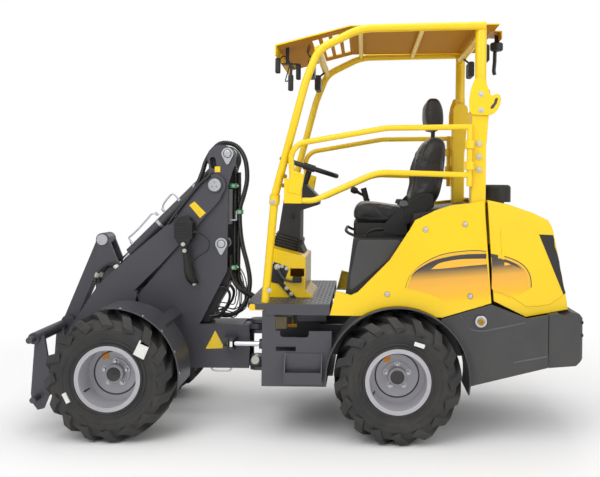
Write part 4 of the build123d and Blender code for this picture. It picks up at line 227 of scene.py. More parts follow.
def noise(tree: object, place: object, scale: object, detail: float, rough: float) -> object:
    """Add a noise texture.

    Args:
        tree: Node tree.
        place: Socket of the place.
        scale: Scale, a number or a socket.
        detail: Number of octaves.
        rough: Share that each octave keeps.

    Returns:
        The socket of the noise's value.
    """
    return add_node(
        tree, "ShaderNodeTexNoise", Vector=place, Scale=scale, Detail=detail, Roughness=rough).outputs["Fac"]


def build_edge_wear_and_highlight_group() -> object:
    """Edge mask for edge wear and painted edge highlights: one minus the dot of the face normal and its
    bevelled normal, broken by noise.
    """
    group = Group("edge_wear_and_highlight")
    tree = group.tree
    radius = group.takes("Radius", value=0.004)
    strength = group.takes("Strength", value=6.0)
    coords = add_node(tree, "ShaderNodeTexCoord")
    bevel = add_node(tree, "ShaderNodeBevel", p_samples=4, Radius=radius)
    geometry = add_node(tree, "ShaderNodeNewGeometry")
    dot = add_node(
        tree, "ShaderNodeVectorMath", p_operation="DOT_PRODUCT", i0=bevel.outputs["Normal"],
        i1=geometry.outputs["Normal"])
    scaled = maths(tree, "MULTIPLY", maths(tree, "SUBTRACT", 1.0, dot.outputs["Value"]), strength)
    broken = ramp_between(tree, noise(tree, coords.outputs["Object"], 42.0, 5.0, 0.65), 0.42, 0.62)
    group.gives("Mask", maths(tree, "MULTIPLY", scaled, broken, clamp=True))
    return tree


def build_dust_group() -> object:
    """Dust: soft noise, stronger on faces that look up and near the ground."""
    group = Group("dust_film")
    tree = group.tree
    amount = group.takes("Amount", value=0.3)
    coords = add_node(tree, "ShaderNodeTexCoord")
    geometry = add_node(tree, "ShaderNodeNewGeometry")
    parts = add_node(tree, "ShaderNodeSeparateXYZ", Vector=geometry.outputs["Normal"])
    up = ramp_between(tree, parts.outputs["Z"], -0.4, 1.0)
    place = add_node(tree, "ShaderNodeSeparateXYZ", Vector=coords.outputs["Object"])
    low = ramp_between(tree, place.outputs["Z"], 1.1, 0.0)
    spread = ramp_between(tree, noise(tree, coords.outputs["Object"], 7.0, 8.0, 0.62), 0.35, 0.75)
    product = maths(tree, "MULTIPLY", maths(tree, "ADD", up, low), spread)
    group.gives("Mask", maths(tree, "MULTIPLY", product, amount, clamp=True))
    return tree


def build_grain_group() -> object:
    """Grain: fine noise and a coarser orange peel, as a height and a slow tone variation."""
    group = Group("surface_grain")
    tree = group.tree
    scale = group.takes("Scale", value=900.0)
    coarse = group.takes("Coarse", value=90.0)
    place = add_node(tree, "ShaderNodeTexCoord").outputs["Object"]
    fine = noise(tree, place, scale, 3.0, 0.6)
    group.gives("Height", maths(tree, "MULTIPLY_ADD", fine, 0.5, noise(tree, place, coarse, 2.0, 0.5)))
    group.gives("Tone", noise(tree, place, 2.6, 5.0, 0.55))
    return tree


class Effects:
    """The shared shader groups, made once."""

    def __init__(self) -> None:
        """Build every group."""
        self.edge = build_edge_wear_and_highlight_group()
        self.dust = build_dust_group()
        self.grain = build_grain_group()


EFFECTS = Effects()


def linear(colour: Colour) -> tuple[float, float, float, float]:
    """Screen colour (0..1 per channel) as linear light with alpha.

    Args:
        colour: Screen colour.

    Returns:
        Linear red, green, blue and alpha.
    """
    # The screen curve's own constants
    made = [c / 12.92 if c <= 0.04045 else ((c + 0.055) / 1.055) ** 2.4 for c in colour]
    return (made[0], made[1], made[2], 1.0)


@dataclass(frozen=True)
class Finish:
    """A surface finish with tone variation, edge wear and painted edge highlights, painted underside shade,
    dust, grain and gloss.
    """

    name: str
    colour: Colour
    shade: Colour
    slot: Slot = Slot.DARK
    rough: float = 0.4
    rough_spread: float = 0.12
    metal: float = 0.0
    coat: float = 0.0
    # Edge colour mixed in by the edge mask: on the yellow a darker edge as paint wear, on the grey, black and
    # rubber finishes a lighter edge as painted highlight.
    edge_wear_and_highlight_colour: Colour | None = None
    edge_wear_and_highlight_strength: float = 0.0
    edge_mask_radius: float = 0.004
    dust: float = 0.15
    dust_colour: Colour = (0.55, 0.52, 0.47)
    grain: float = 900.0
    coarse: float = 90.0
    bump: float = 0.08
    bump_distance: float = 0.0004
    sheen: float = 0.0
    specular: float = 0.5
    # Colour on faces that look down: painted shade under the part.
    painted_underside_shade: Colour | None = None
    round_edge: float = 0.0

    def material(self) -> object:
        """Return this finish's material, made on first use."""
        found = bpy.data.materials.get(self.name)
        if found is not None:
            return found
        made = bpy.data.materials.new(self.name)
        made.use_nodes = True
        tree = made.node_tree
        shader = tree.nodes["Principled BSDF"]
        grain = add_node(
            tree, "ShaderNodeGroup", p_node_tree=EFFECTS.grain, Scale=self.grain, Coarse=self.coarse)
        tone = ramp_between(tree, grain.outputs["Tone"], 0.3, 0.7)
        colour = mixed(tree, tone, linear(self.shade), linear(self.colour))
        rough = maths(
            tree, "MULTIPLY_ADD", grain.outputs["Tone"], self.rough_spread,
            self.rough - self.rough_spread / 2, clamp=True)
        # Edge wear and painted edge highlight: the edge colour is mixed in where the bevelled normal turns
        # away.
        if self.edge_wear_and_highlight_colour is not None:
            edge = add_node(
                tree, "ShaderNodeGroup", p_node_tree=EFFECTS.edge, Radius=self.edge_mask_radius,
                Strength=self.edge_wear_and_highlight_strength)
            colour = mixed(tree, edge.outputs["Mask"], colour, linear(self.edge_wear_and_highlight_colour))
        # Painted shade: faces that look down take the underside colour.
        if self.painted_underside_shade is not None:
            geometry = add_node(tree, "ShaderNodeNewGeometry")
            height = add_node(tree, "ShaderNodeSeparateXYZ", Vector=geometry.outputs["Normal"])
            below = ramp_between(tree, height.outputs["Z"], -0.1, -0.6)
            colour = mixed(tree, below, colour, linear(self.painted_underside_shade))
        dust = add_node(tree, "ShaderNodeGroup", p_node_tree=EFFECTS.dust, Amount=self.dust)
        colour = mixed(tree, dust.outputs["Mask"], colour, linear(self.dust_colour))
        rough = maths(tree, "MULTIPLY_ADD", dust.outputs["Mask"], 0.3, rough, clamp=True)
        bump = add_node(
            tree, "ShaderNodeBump", Strength=self.bump, Distance=self.bump_distance,
            Height=grain.outputs["Height"])
        if self.round_edge:
            soft = add_node(tree, "ShaderNodeBevel", p_samples=4, Radius=self.round_edge)
            tree.links.new(soft.outputs["Normal"], bump.inputs["Normal"])
        tree.links.new(colour, shader.inputs["Base Color"])
        tree.links.new(rough, shader.inputs["Roughness"])
        tree.links.new(bump.outputs["Normal"], shader.inputs["Normal"])
        shader.inputs["Metallic"].default_value = self.metal
        shader.inputs["Coat Weight"].default_value = self.coat
        shader.inputs["Coat Roughness"].default_value = 0.12
        shader.inputs["Sheen Weight"].default_value = self.sheen
        shader.inputs["Specular IOR Level"].default_value = self.specular
        return made


YELLOW = Finish(
    "loader_yellow", (0.965, 0.815, 0.0), (0.945, 0.785, 0.0), Slot.BODY, rough=0.36, coat=0.3,
    edge_wear_and_highlight_colour=(0.80, 0.66, 0.20), edge_wear_and_highlight_strength=1.0, dust=0.02, bump=0.04, round_edge=0.006)
# The roof's darker orange underside is painted shade under the roof.
ROOF_YELLOW = Finish(
    "roof_yellow", (0.965, 0.815, 0.0), (0.945, 0.785, 0.0), Slot.BODY, rough=0.62, dust=0.0, bump=0.04,
    painted_underside_shade=(0.73, 0.50, 0.0), specular=0.12)
FRAME_GREY = Finish(
    "frame_grey", (0.24, 0.238, 0.236), (0.20, 0.198, 0.197), Slot.FRAME, rough=0.42,
    edge_wear_and_highlight_colour=(0.42, 0.42, 0.43), edge_wear_and_highlight_strength=3.0, dust=0.10, bump=0.10)
PLASTIC = Finish(
    "moulded_black", (0.115, 0.115, 0.12), (0.09, 0.09, 0.095), rough=0.52, edge_wear_and_highlight_colour=(0.2, 0.2, 0.2), edge_wear_and_highlight_strength=2.0,
    dust=0.08, grain=1500.0, bump=0.25)
COVER = Finish(
    "cover_grey", (0.255, 0.254, 0.256), (0.22, 0.219, 0.222), rough=0.5, edge_wear_and_highlight_colour=(0.36, 0.36, 0.36), edge_wear_and_highlight_strength=2.0,
    dust=0.08, grain=1300.0, bump=0.25)
RUBBER = Finish(
    "tyre_black", (0.165, 0.165, 0.168), (0.12, 0.12, 0.123), Slot.TYRE, rough=0.62,
    edge_wear_and_highlight_colour=(0.27, 0.265, 0.26), edge_wear_and_highlight_strength=2.0, edge_mask_radius=0.006, dust=0.10, grain=700.0, bump=0.35)
RIM = Finish(
    "rim_grey", (0.70, 0.695, 0.72), (0.65, 0.645, 0.67), Slot.RIM, rough=0.36, coat=0.15, dust=0.10,
    bump=0.05)
ZINC = Finish(
    "zinc_steel", (0.80, 0.81, 0.83), (0.72, 0.73, 0.75), Slot.STEEL, rough=0.34, metal=0.7, dust=0.05,
    bump=0.06)
CHROME = Finish(
    "rod_chrome", (0.86, 0.86, 0.87), (0.80, 0.80, 0.81), Slot.ROD, rough=0.12, rough_spread=0.05,
    metal=1.0, dust=0.03, bump=0.02)
IRON = Finish("cast_iron", (0.20, 0.20, 0.205), (0.15, 0.15, 0.155), Slot.RIM, rough=0.6, dust=0.2, bump=0.3)
VINYL = Finish(
    "seat_vinyl", (0.095, 0.095, 0.10), (0.07, 0.07, 0.075), Slot.SEAT, rough=0.48, dust=0.05, grain=650.0,
    coarse=220.0, bump=0.3, bump_distance=0.0006, sheen=0.15)
SOFT_RUBBER = Finish(
    "soft_rubber", (0.10, 0.10, 0.10), (0.075, 0.075, 0.075), rough=0.6, dust=0.08, bump=0.15)

SOFT = dict(dust=0.04, bump=0.1)
HOSE = Finish(
    "hose_wrap", (0.10, 0.10, 0.105), (0.07, 0.07, 0.075), rough=0.36, dust=0.06, grain=900.0, bump=0.1)
CLAMP = Finish("clamp_green", (0.22, 0.60, 0.33), (0.17, 0.52, 0.28), rough=0.45, **SOFT)
LENS = Finish("lamp_lens", (0.62, 0.64, 0.66), (0.55, 0.57, 0.6), rough=0.08, coat=0.6, **SOFT)
PALE = Finish("label_white", (0.90, 0.90, 0.88), (0.86, 0.86, 0.84), Slot.RIM, rough=0.5, **SOFT)
PALE_STEEL = Finish(
    "bolt_white", (0.86, 0.85, 0.82), (0.78, 0.77, 0.74), Slot.STEEL, rough=0.35, metal=0.6, **SOFT)
ORANGE = Finish("label_orange", (0.88, 0.56, 0.08), (0.84, 0.52, 0.07), Slot.RIM, rough=0.5, **SOFT)
BRASS = Finish(
    "brass_tone", (0.72, 0.56, 0.22), (0.62, 0.47, 0.18), Slot.STEEL, rough=0.35, metal=0.9, **SOFT)
SAND = Finish("valve_sand", (0.66, 0.60, 0.48), (0.60, 0.54, 0.42), Slot.IRON, rough=0.6, **SOFT)
PLATE = Finish(
    "plate_yellow", (0.97, 0.83, 0.12), (0.95, 0.80, 0.10), Slot.BODY, rough=0.32, coat=0.3, **SOFT)
YELLOW_TRIM = Finish("trim_yellow", (0.96, 0.78, 0.05), (0.93, 0.74, 0.04), Slot.BODY, rough=0.4, **SOFT)
DEEP_YELLOW = Finish("deep_yellow", (0.80, 0.58, 0.02), (0.74, 0.52, 0.02), Slot.BODY, rough=0.45, **SOFT)
GOLD = Finish("print_gold", (0.97, 0.73, 0.22), (0.95, 0.71, 0.20), Slot.BODY, rough=0.36, coat=0.3, **SOFT)
PRINT_DARK = Finish("print_dark", (0.25, 0.235, 0.24), (0.22, 0.21, 0.215), rough=0.36, coat=0.3, **SOFT)
# Lighter grey: painted highlight on the cover's crease and ridge strips, and the belt anchors' own grey.
COVER_LIGHT = Finish("cover_highlight_and_anchor_grey", (0.37, 0.37, 0.385), (0.33, 0.33, 0.345), rough=0.55, **SOFT)


class FadePrint:
    """Printed fade of the side graphic: dark at the top, golden below, then the body's yellow."""

    slot = Slot.BODY

    def material(self) -> object:
        """Return the material; its colour follows the height over a line that rises to the rear."""
        found = bpy.data.materials.get("print_fade")
        if found is not None:
            return found
        made = bpy.data.materials.new("print_fade")
        made.use_nodes = True
        tree = made.node_tree
        shader = tree.nodes["Principled BSDF"]
        coords = add_node(tree, "ShaderNodeTexCoord")
        place = add_node(tree, "ShaderNodeSeparateXYZ", Vector=coords.outputs["Object"])
        line = maths(tree, "MULTIPLY_ADD", place.outputs["X"], 0.085, place.outputs["Z"])
        share = ramp_between(tree, line, 0.655, 0.872)
        ramp = add_node(tree, "ShaderNodeValToRGB", Fac=share)
        stops = ramp.color_ramp
        stops.elements[0].position = 0.02
        stops.elements[0].color = linear((0.965, 0.79, 0.02))
        stops.elements[1].position = 1.0
        stops.elements[1].color = linear((0.25, 0.22, 0.22))
        for position, colour in (
                (0.20, (0.95, 0.72, 0.12)), (0.40, (0.945, 0.70, 0.22)), (0.62, (0.90, 0.66, 0.24)),
                (0.74, (0.70, 0.54, 0.25)), (0.86, (0.36, 0.31, 0.25))):
            stop = stops.elements.new(position)
            stop.color = linear(colour)
        tree.links.new(ramp.outputs["Color"], shader.inputs["Base Color"])
        shader.inputs["Roughness"].default_value = 0.36
        shader.inputs["Coat Weight"].default_value = 0.3
        return made


FADE = FadePrint()


FINISH_OF_SLOT = {
    Slot.FRAME: FRAME_GREY, Slot.BODY: YELLOW, Slot.DARK: PLASTIC, Slot.DECK: FRAME_GREY, Slot.SEAT: VINYL,
    Slot.TYRE: RUBBER, Slot.RIM: RIM, Slot.STEEL: ZINC, Slot.ROD: CHROME, Slot.IRON: IRON,
}
FINISH_OF_NODE = {
    "roof": ROOF_YELLOW, "lower_covers": COVER, "counterweight": COVER, "rear_mudguards": COVER,
    "front_mudguards": FRAME_GREY,
}


def dress_nodes() -> None:
    """Give every carried-over node the finish of its slot, or one of its own."""
    slots = {row["node"]: row["material_slot"] for row in frame["record"]["subparts"]}
    for name, node in frame["nodes"].items():
        finish = FINISH_OF_NODE.get(name, FINISH_OF_SLOT[Slot(slots[name])])
        node.data.materials.clear()
        node.data.materials.append(finish.material())
    LOG.info("dressed %d nodes", len(frame["nodes"]))


# Mesh helpers
def spots(points: Sequence[Sequence[float]]) -> Array:
    """Places in millimetres from the rear axle's middle, as rows in the frame's metres.

    Args:
        points: Rows of x, y and z.

    Returns:
        An array of the same rows in metres.
    """
    return np.asarray(points, float) * MM + np.array((REAR_AXLE, 0.0, 0.0))


def upright(outline: Sequence[Sequence[float]], y: float) -> Array:
    """Side-view corners (x, z) as places at one y, in the frame's metres.

    Args:
        outline: Rows of x and z in millimetres from the rear axle.
        y: Distance to the left in millimetres.

    Returns:
        An array of places.
    """
    flat = np.asarray(outline, float)
    return spots(np.column_stack((flat[:, 0], np.full(len(flat), y), flat[:, 1])))


class Shell:
    """Surfaces gathered into one mesh."""

    sharp_angle = math.radians(38.0)
    bevel_angle = math.radians(35.0)

    def __init__(self) -> None:
        """Start with no surface."""
        self.points: list[Array] = []
        self.faces: list[list[int]] = []
        self.count = 0

    def add(self, points: Array, faces: Iterable[Sequence[int]]) -> None:
        """Add a surface.

        Args:
            points: Rows of places in metres.
            faces: Rows of point numbers, counted from this surface's first.
        """
        start = self.count
        self.points.append(points)
        self.faces.extend([[start + i for i in face] for face in faces])
        self.count += len(points)

    def grid(self, places: Array, caps: bool = True) -> None:
        """Add a grid of rows by columns; columns close on themselves, ends get a cap.

        Args:
            places: Array of rows by columns by 3.
            caps: Whether the first and last rows are closed with a face.
        """
        rows, columns = places.shape[:2]
        index = np.arange(rows * columns).reshape(rows, columns)
        right = np.roll(index, -1, axis=1)
        quads = np.stack((index[:-1], right[:-1], right[1:], index[1:]), axis=-1).reshape(-1, 4).tolist()
        if caps:
            quads += [index[0][::-1].tolist(), index[-1].tolist()]
        self.add(places.reshape(-1, 3), quads)

    def tube(
            self, path: Array, radius: float | Array, sides: int = 12,
            across: Point = (0.0, 1.0, 0.0)) -> None:
        """Add a round tube: each path place plus radius times cosine and sine of two cross directions.

        Args:
            path: Rows of places in metres.
            radius: Radius in metres, or one for each place.
            sides: Number of faces round the tube.
            across: A direction that the path never follows.
        """
        along = np.gradient(path, axis=0)
        along /= np.linalg.norm(along, axis=1)[:, None]
        first = np.cross(along, np.asarray(across))
        first /= np.linalg.norm(first, axis=1)[:, None]
        second = np.cross(along, first)
        turn = np.linspace(0.0, 2.0 * np.pi, sides, endpoint=False)
        reach = np.broadcast_to(np.asarray(radius, float), (len(path),))[:, None, None]
        ring = np.cos(turn)[None, :, None] * first[:, None] + np.sin(turn)[None, :, None] * second[:, None]
        self.grid(path[:, None] + reach * ring)

    def lathe(self, place: Point, axis: Point, profile: Sequence[Sequence[float]], sides: int = 24,
              ring: bool = False) -> None:
        """Add a turned shape: height along the axis plus radius times cosine and sine of two directions.

        Args:
            place: Where height zero lies, in metres.
            axis: Direction of the axis.
            profile: Rows of height and radius in millimetres, in the order of rising arc length.
            sides: Number of faces round the axis.
            ring: Whether the last row joins the first, as in a hoop, in place of two caps.
        """
        rows = np.asarray(profile, float) * MM
        rows = np.vstack((rows, rows[:1])) if ring else rows
        line = np.asarray(axis, float) / np.linalg.norm(axis)
        aside = np.array((0.0, 0.0, 1.0)) if abs(line[2]) < 0.9 else np.array((1.0, 0.0, 0.0))
        first = np.cross(line, aside)
        first /= np.linalg.norm(first)
        second = np.cross(line, first)
        turn = np.linspace(0.0, 2.0 * np.pi, sides, endpoint=False)
        hoop = np.cos(turn)[:, None] * first + np.sin(turn)[:, None] * second
        places = np.asarray(place) + rows[:, 0][:, None, None] * line + rows[:, 1][:, None, None] * hoop[None]
        self.grid(places, caps=not ring)

    def slab(self, outline: Sequence[Sequence[float]], y_low: float, y_high: float) -> None:
        """Add a plate with a side-view outline between two y places.

        Args:
            outline: Rows of x and z in millimetres, in order round the plate.
            y_low: Right face in millimetres.
            y_high: Left face in millimetres.
        """
        flat = np.asarray(outline, float)
        turned = np.sum(flat[:, 0] * np.roll(flat[:, 1], -1) - np.roll(flat[:, 0], -1) * flat[:, 1])
        if turned < 0:
            flat = flat[::-1]
        self.grid(np.stack((upright(flat, y_high), upright(flat, y_low))))

    def side_slab(self, outline: Sequence[Sequence[float]], side: float, inner: float, outer: float) -> None:
        """Add a plate with a side-view outline on one side of the machine.

        Args:
            outline: Rows of x and z in millimetres, in order round the plate.
            side: 1 for the left side, -1 for the right.
            inner: Distance of its inner face from the machine's middle in millimetres.
            outer: Distance of its outer face.
        """
        self.slab(outline, *sorted((side * inner, side * outer)))

    def button(self, x: float, y: float, z: float, side: float, profile: Sequence[Sequence[float]],
               sides: int = 24, ring: bool = False) -> None:
        """Add a turned shape that stands out from one side of the machine.

        Args:
            x: Its place along the machine in millimetres.
            y: Distance of its seat from the machine's middle.
            z: Its height.
            side: 1 for the left side, -1 for the right.
            profile: Rows of height and radius in millimetres.
            sides: Number of faces round the axis.
            ring: Whether the profile closes on itself, as in a hoop.
        """
        self.lathe(at(x, side * y, z), (0.0, side, 0.0), profile, sides, ring)

    def line(self, points: Sequence[Sequence[float]], radius: float | Array, sides: int = 8, steps: int = 10,
             across: Point = (0.0, 1.0, 0.0)) -> None:
        """Add a round tube along the smooth line through places.

        Args:
            points: Rows of x, y and z in millimetres.
            radius: Radius in millimetres, or one for each place of the line.
            sides: Number of faces round the tube.
            steps: Places on each span.
            across: A direction that the line never follows.
        """
        self.tube(curve_through(points, steps), radius * MM, sides, across)

    def box(self, low: Sequence[float], high: Sequence[float]) -> None:
        """Add a box between two corners.

        Args:
            low: Lowest x, y and z in millimetres.
            high: Highest x, y and z in millimetres.
        """
        corners = [(low[0], low[2]), (high[0], low[2]), (high[0], high[2]), (low[0], high[2])]
        self.slab(corners, low[1], high[1])

    def bolt(self, place: Sequence[float], axis: Point, across: float = 19.0, height: float = 9.0) -> None:
        """Add a washer and a six-sided head.

        Args:
            place: Seat of the washer in millimetres.
            axis: Direction in which the head stands out.
            across: Width of the head in millimetres.
            height: Height of the head in millimetres.
        """
        seat = tuple(spots([place])[0])
        washer = across * 0.82
        self.lathe(seat, axis, [(-1.0, washer), (across * 0.12, washer), (across * 0.12, across * 0.3)], 16)
        self.lathe(seat, axis, [(0.0, across / 2), (height * 0.85, across / 2), (height, across * 0.4)], 6)

    def piece(self, name: str, finish: Finish, body: str | None, slot: Slot | None = None,
              bevel: float = 0.0) -> object:
        """Make the object from what was gathered, and let it ride on its body.

        Args:
            name: Name of the piece.
            finish: Its finish.
            body: Body that it moves with, or None where the caller blends it.
            slot: Material slot of the record, or None for the finish's own; not used.
            bevel: Width in millimetres of a bevel on its sharp edges.

        Returns:
            The new object.
        """
        mesh = bpy.data.meshes.new(name)
        mesh.from_pydata(np.vstack(self.points).tolist(), [], self.faces)
        mesh.validate()
        weld(mesh)
        made = bpy.data.objects.new(name, mesh)
        bpy.context.scene.collection.objects.link(made)
        mesh.materials.append(finish.material())
        mesh.shade_smooth()
        mesh.set_sharp_from_angle(angle=self.sharp_angle)
        if bevel:
            edge = made.modifiers.new("edges", "BEVEL")
            edge.width = bevel * MM
            edge.segments = 3
            edge.limit_method = "ANGLE"
            edge.angle_limit = self.bevel_angle
            edge.harden_normals = False
        if body is not None:
            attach(made, body)
        LOG.info("%s: %d faces", name, len(mesh.polygons))
        return made


def weld(mesh: object) -> None:
    """Join points that fall together and turn every shell's faces outwards.

    Args:
        mesh: Mesh of closed shells.
    """
    work = bmesh.new()
    work.from_mesh(mesh)
    bmesh.ops.remove_doubles(work, verts=work.verts, dist=2e-6)
    bmesh.ops.recalc_face_normals(work, faces=work.faces)
    work.to_mesh(mesh)
    work.free()


def curve_through(points: Sequence[Sequence[float]], steps: int = 10) -> Array:
    """Smooth line through places: each span is the cubic whose end slopes are half the chord
    between the neighbours of its ends, worked out for all spans and steps at once.

    Args:
        points: Rows of x, y and z in millimetres from the rear axle.
        steps: Places on each span.

    Returns:
        Rows of places in metres.
    """
    knots = spots(points)
    padded = np.vstack((2 * knots[0] - knots[1], knots, 2 * knots[-1] - knots[-2]))
    slope = (padded[2:] - padded[:-2]) / 2
    share = np.linspace(0.0, 1.0, steps, endpoint=False)[None, :, None]
    start, end = knots[:-1, None], knots[1:, None]
    out, back = slope[:-1, None], slope[1:, None]
    line = (
        (2 * share**3 - 3 * share**2 + 1) * start + (share**3 - 2 * share**2 + share) * out
        + (3 * share**2 - 2 * share**3) * end + (share**3 - share**2) * back)
    return np.vstack((line.reshape(-1, 3), knots[-1:]))


def evenly(path: Array, pitch: float) -> Array:
    """Places at an even spacing along a line, by its running length.

    Args:
        path: Rows of places.
        pitch: Spacing in metres.

    Returns:
        Rows of evenly spaced places.
    """
    run = np.concatenate(([0.0], np.cumsum(np.linalg.norm(np.diff(path, axis=0), axis=1))))
    count = max(int(run[-1] / pitch), 2)
    wanted = np.linspace(0.0, run[-1], count + 1)
    return np.column_stack([np.interp(wanted, run, path[:, k]) for k in range(3)])


# Hoses, pipes and clamps
@dataclass
class TowerHoses:
    """Hydraulic hoses over and behind the tower, their clamps, wires and the pipes on the cylinders."""

    hose_radius: float = 12.5
    loop_radius: float = 13.5
    wire_radius: float = 3.2
    braid_pitch: float = 11.0
    braid_height: float = 1.2
    loop_y: tuple[float, float] = (34.0, 58.0)
    loop_shift: tuple[float, float] = (1100.0, 1400.0)
    bundle_y: tuple[float, float] = (-16.0, 14.0)

    def wrapped(self, shell: Shell, points: Sequence[Sequence[float]], radius: float) -> None:
        """Add a hose whose spiral wrap swells its radius by a sine of its running length.

        Args:
            shell: Shell that takes the hose.
            points: Rows of x, y and z in millimetres.
            radius: Mean radius in millimetres.
        """
        path = evenly(curve_through(points), self.braid_pitch * MM / 4)
        wave = np.sin(np.arange(len(path)) * np.pi / 2)
        shell.tube(path, (radius + wave * self.braid_height) * MM, 10)

    def loops(self) -> None:
        """The big loop over the tower's head and down behind the bundle."""
        free = Shell()
        bend = [(1158, 1296), (1140, 1336), (1116, 1398), (1098, 1456), (1068, 1515)]
        inner, outer = self.loop_y
        self.wrapped(free, [(x, outer, z) for x, z in bend], self.loop_radius)
        piece = free.piece("hose_bend", HOSE, None)
        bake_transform(piece)
        shell = Shell()
        line = [
            (1068, 1515), (1020, 1560), (968, 1566),
            (920, 1548), (884, 1504), (863, 1440), (860, 1349), (880, 1261), (898, 1201), (902, 1128),
            (895, 1039), (880, 958), (858, 877), (842, 797), (842, 730), (860, 656), (902, 597), (959, 572),
            (1030, 573)]
        places = [(x, float(np.interp(z, self.loop_shift, (inner, outer))), z) for x, z in line]
        self.wrapped(shell, places, self.loop_radius)
        shell.piece("hose_loop", HOSE, "front_frame")

    def bundle(self) -> None:
        """Four hoses down the tower's rear edge that enter the rear frame under the deck's apron."""
        shell = Shell()
        line = [
            (952, 1462), (936, 1400), (934, 1319), (934, 1227), (934, 1127), (934, 1030), (934, 930),
            (934, 847), (928, 783), (904, 730), (862, 692), (810, 662), (765, 648), (730, 642)]
        for y in self.bundle_y:
            self.wrapped(shell, [(x, y, z) for x, z in line], self.hose_radius)
        self.wrapped(shell, [(x - 20.0, -2.0, z) for x, z in line[1:-2]], self.hose_radius)
        lower = [
            (948, 905), (946, 847), (938, 790), (922, 748), (892, 712), (850, 690), (808, 668), (765, 655),
            (730, 650)]
        self.wrapped(shell, [(x + 4.0, 44.0, z + 14.0) for x, z in lower], self.hose_radius)
        piece = shell.piece("hose_bundle", HOSE, None)
        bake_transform(piece)

    def wires(self) -> None:
        """Thin wires that hang in loops between the bundle and the articulation."""
        shell = Shell()
        for shift, low in (
                (0.0, 590.0), (14.0, 612.0), (-16.0, 604.0), (24.0, 640.0), (-28.0, 572.0), (8.0, 560.0)):
            line = [
                (940, 868), (918 + shift, 790), (900 + shift, 700), (905 + shift, low + 30), (940, low - 12),
                (985, low - 6), (1040, low)]
            shell.line([(x, -38.0 + shift, z) for x, z in line], self.wire_radius, 6, 8)
        shell.piece("tower_wires", HOSE, "front_frame")
        loose = Shell()
        for y, drop in ((-70.0, 0.0), (-44.0, 18.0), (62.0, 30.0), (78.0, 8.0)):
            line = [
                (1074, 640 + drop), (1060, 700), (1030, 736 - drop), (992, 742), (962, 724), (948, 690),
                (962, 640), (1004, 596 - drop), (1060, 574)]
            loose.line([(x, y, z) for x, z in line], 6.0, 8, 8)
        loose.piece("tower_lines", HOSE, "front_frame")

    def boom_hose(self) -> None:
        """Hose along each boom plate's upper edge, and the steel pipe that goes on from it."""
        shell = Shell()
        route = (
            (1050, 101, 1392), (1072, 127, 1366), (1108, 127, 1334), (1165, 127, 1266), (1223, 127, 1192),
            (1266, 127, 1134), (1300, 105, 1090))
        for side in SIDES:
            self.wrapped(shell, [(x, side * y, z) for x, y, z in route], 8.5)
        shell.piece("boom_hoses", HOSE, "boom")
        ends = Shell()
        pipe = ((1300, 1088), (1330, 1010), (1380, 930), (1450, 840), (1520, 752), (1560, 700))
        for side in SIDES:
            ends.line([(x, side * 91, z) for x, z in pipe], 5.5)
        ends.piece("boom_pipes", ZINC, "boom")

    def cylinder_pipes(self) -> None:
        """Steel pipes with elbows above the tilt cylinder's barrel."""
        shell = Shell()
        fittings = Shell()
        for line in (
                [(1530, 985), (1546, 1012), (1530, 1028), (1491, 1066), (1440, 1124), (1415, 1152),
                 (1388, 1156)],
                [(1352, 1178), (1350, 1204), (1330, 1236), (1301, 1268), (1286, 1266), (1262, 1240)]):
            shell.line([(x, 24.0, z) for x, z in line], 5.2, 8, 8)
            for x, z in (line[0], line[-1]):
                nut = [(-13, 8), (-12, 10), (2, 10), (3, 7.5), (9, 7.5)]
                fittings.lathe(at(x, 24.0, z), (0.71, 0.0, 0.70), nut, 6)
        shell.piece("cylinder_pipes", ZINC, "tilt_barrel")
        fittings.piece("cylinder_fittings", ZINC, "tilt_barrel")
        bands = Shell()
        for share in (0.30, 0.62):
            x, z = 965 + 653 * share, 1504 - 656 * share
            bands.lathe(
                at(x, 0.0, z), (653.0, 0.0, -656.0), [(-9, 30), (-9, 33.5), (9, 33.5), (9, 30)], 40,
                ring=True)
        bands.piece("barrel_bands", ZINC, "tilt_barrel")

    def clamps(self) -> None:
        """Green clamp blocks with bolts, and the strap that holds the middle one."""
        shell, bolts, strap = Shell(), Shell(), Shell()
        for x, z in ((944.0, 1321.0), (940.0, 849.0)):
            shell.box((x - 26, -36, z - 13), (x + 16.5, 54, z + 13))
            bolts.bolt((x - 26, 30, z), (-1.0, 0.0, 0.0), 12.0, 7.0)
            bolts.bolt((x - 5, 54, z), (0.0, 1.0, 0.0), 12.0, 8.0)
        shell.box((884, 16, 1157), (918, 54, 1183))
        bolts.bolt((901, 54, 1170), (0.0, 1.0, 0.0), 12.0, 8.0)
        strap.box((917, 22, 1120), (924, 48, 1176))
        strap.box((924, 22, 1120), (961, 48, 1127))
        shell.piece("hose_clamps", CLAMP, "front_frame", bevel=2.0)
        bolts.piece("clamp_bolts", ZINC, "front_frame")
        strap.piece("clamp_strap", ZINC, "front_frame", bevel=1.0)

    def couplers(self) -> None:
        """Quick couplers on the boom's upper edge, with the short hoses that bend down from them."""
        hoses, ends = Shell(), Shell()
        for y, shift in ((86.0, 0.0), (60.0, 14.0)):
            line = [
                (1716 - shift, 756), (1704 - shift, 806), (1672 - shift, 846), (1636 - shift, 860),
                (1596, 846)]
            self.wrapped(hoses, [(x, y, z) for x, z in line], 8.0)
            sleeve = [(-16, 9), (-14, 11), (2, 11), (4, 13), (22, 13), (24, 10), (44, 10)]
            ends.lathe(at(1596, y, 846), (-0.82, 0.0, -0.57), sleeve, 16)
            ends.lathe(
                at(1704 - shift, y, 806), (0.3, 0.0, -0.95), [(-10, 10), (-8, 13), (16, 13), (18, 10)], 6)
        hoses.piece("coupler_hoses", HOSE, "boom")
        ends.piece("coupler_ends", PALE_STEEL, "boom")

    def build(self) -> None:
        """Make every hose, pipe and clamp."""
        self.loops()
        self.bundle()
        self.wires()
        self.boom_hose()
        self.cylinder_pipes()
        self.clamps()
        self.couplers()


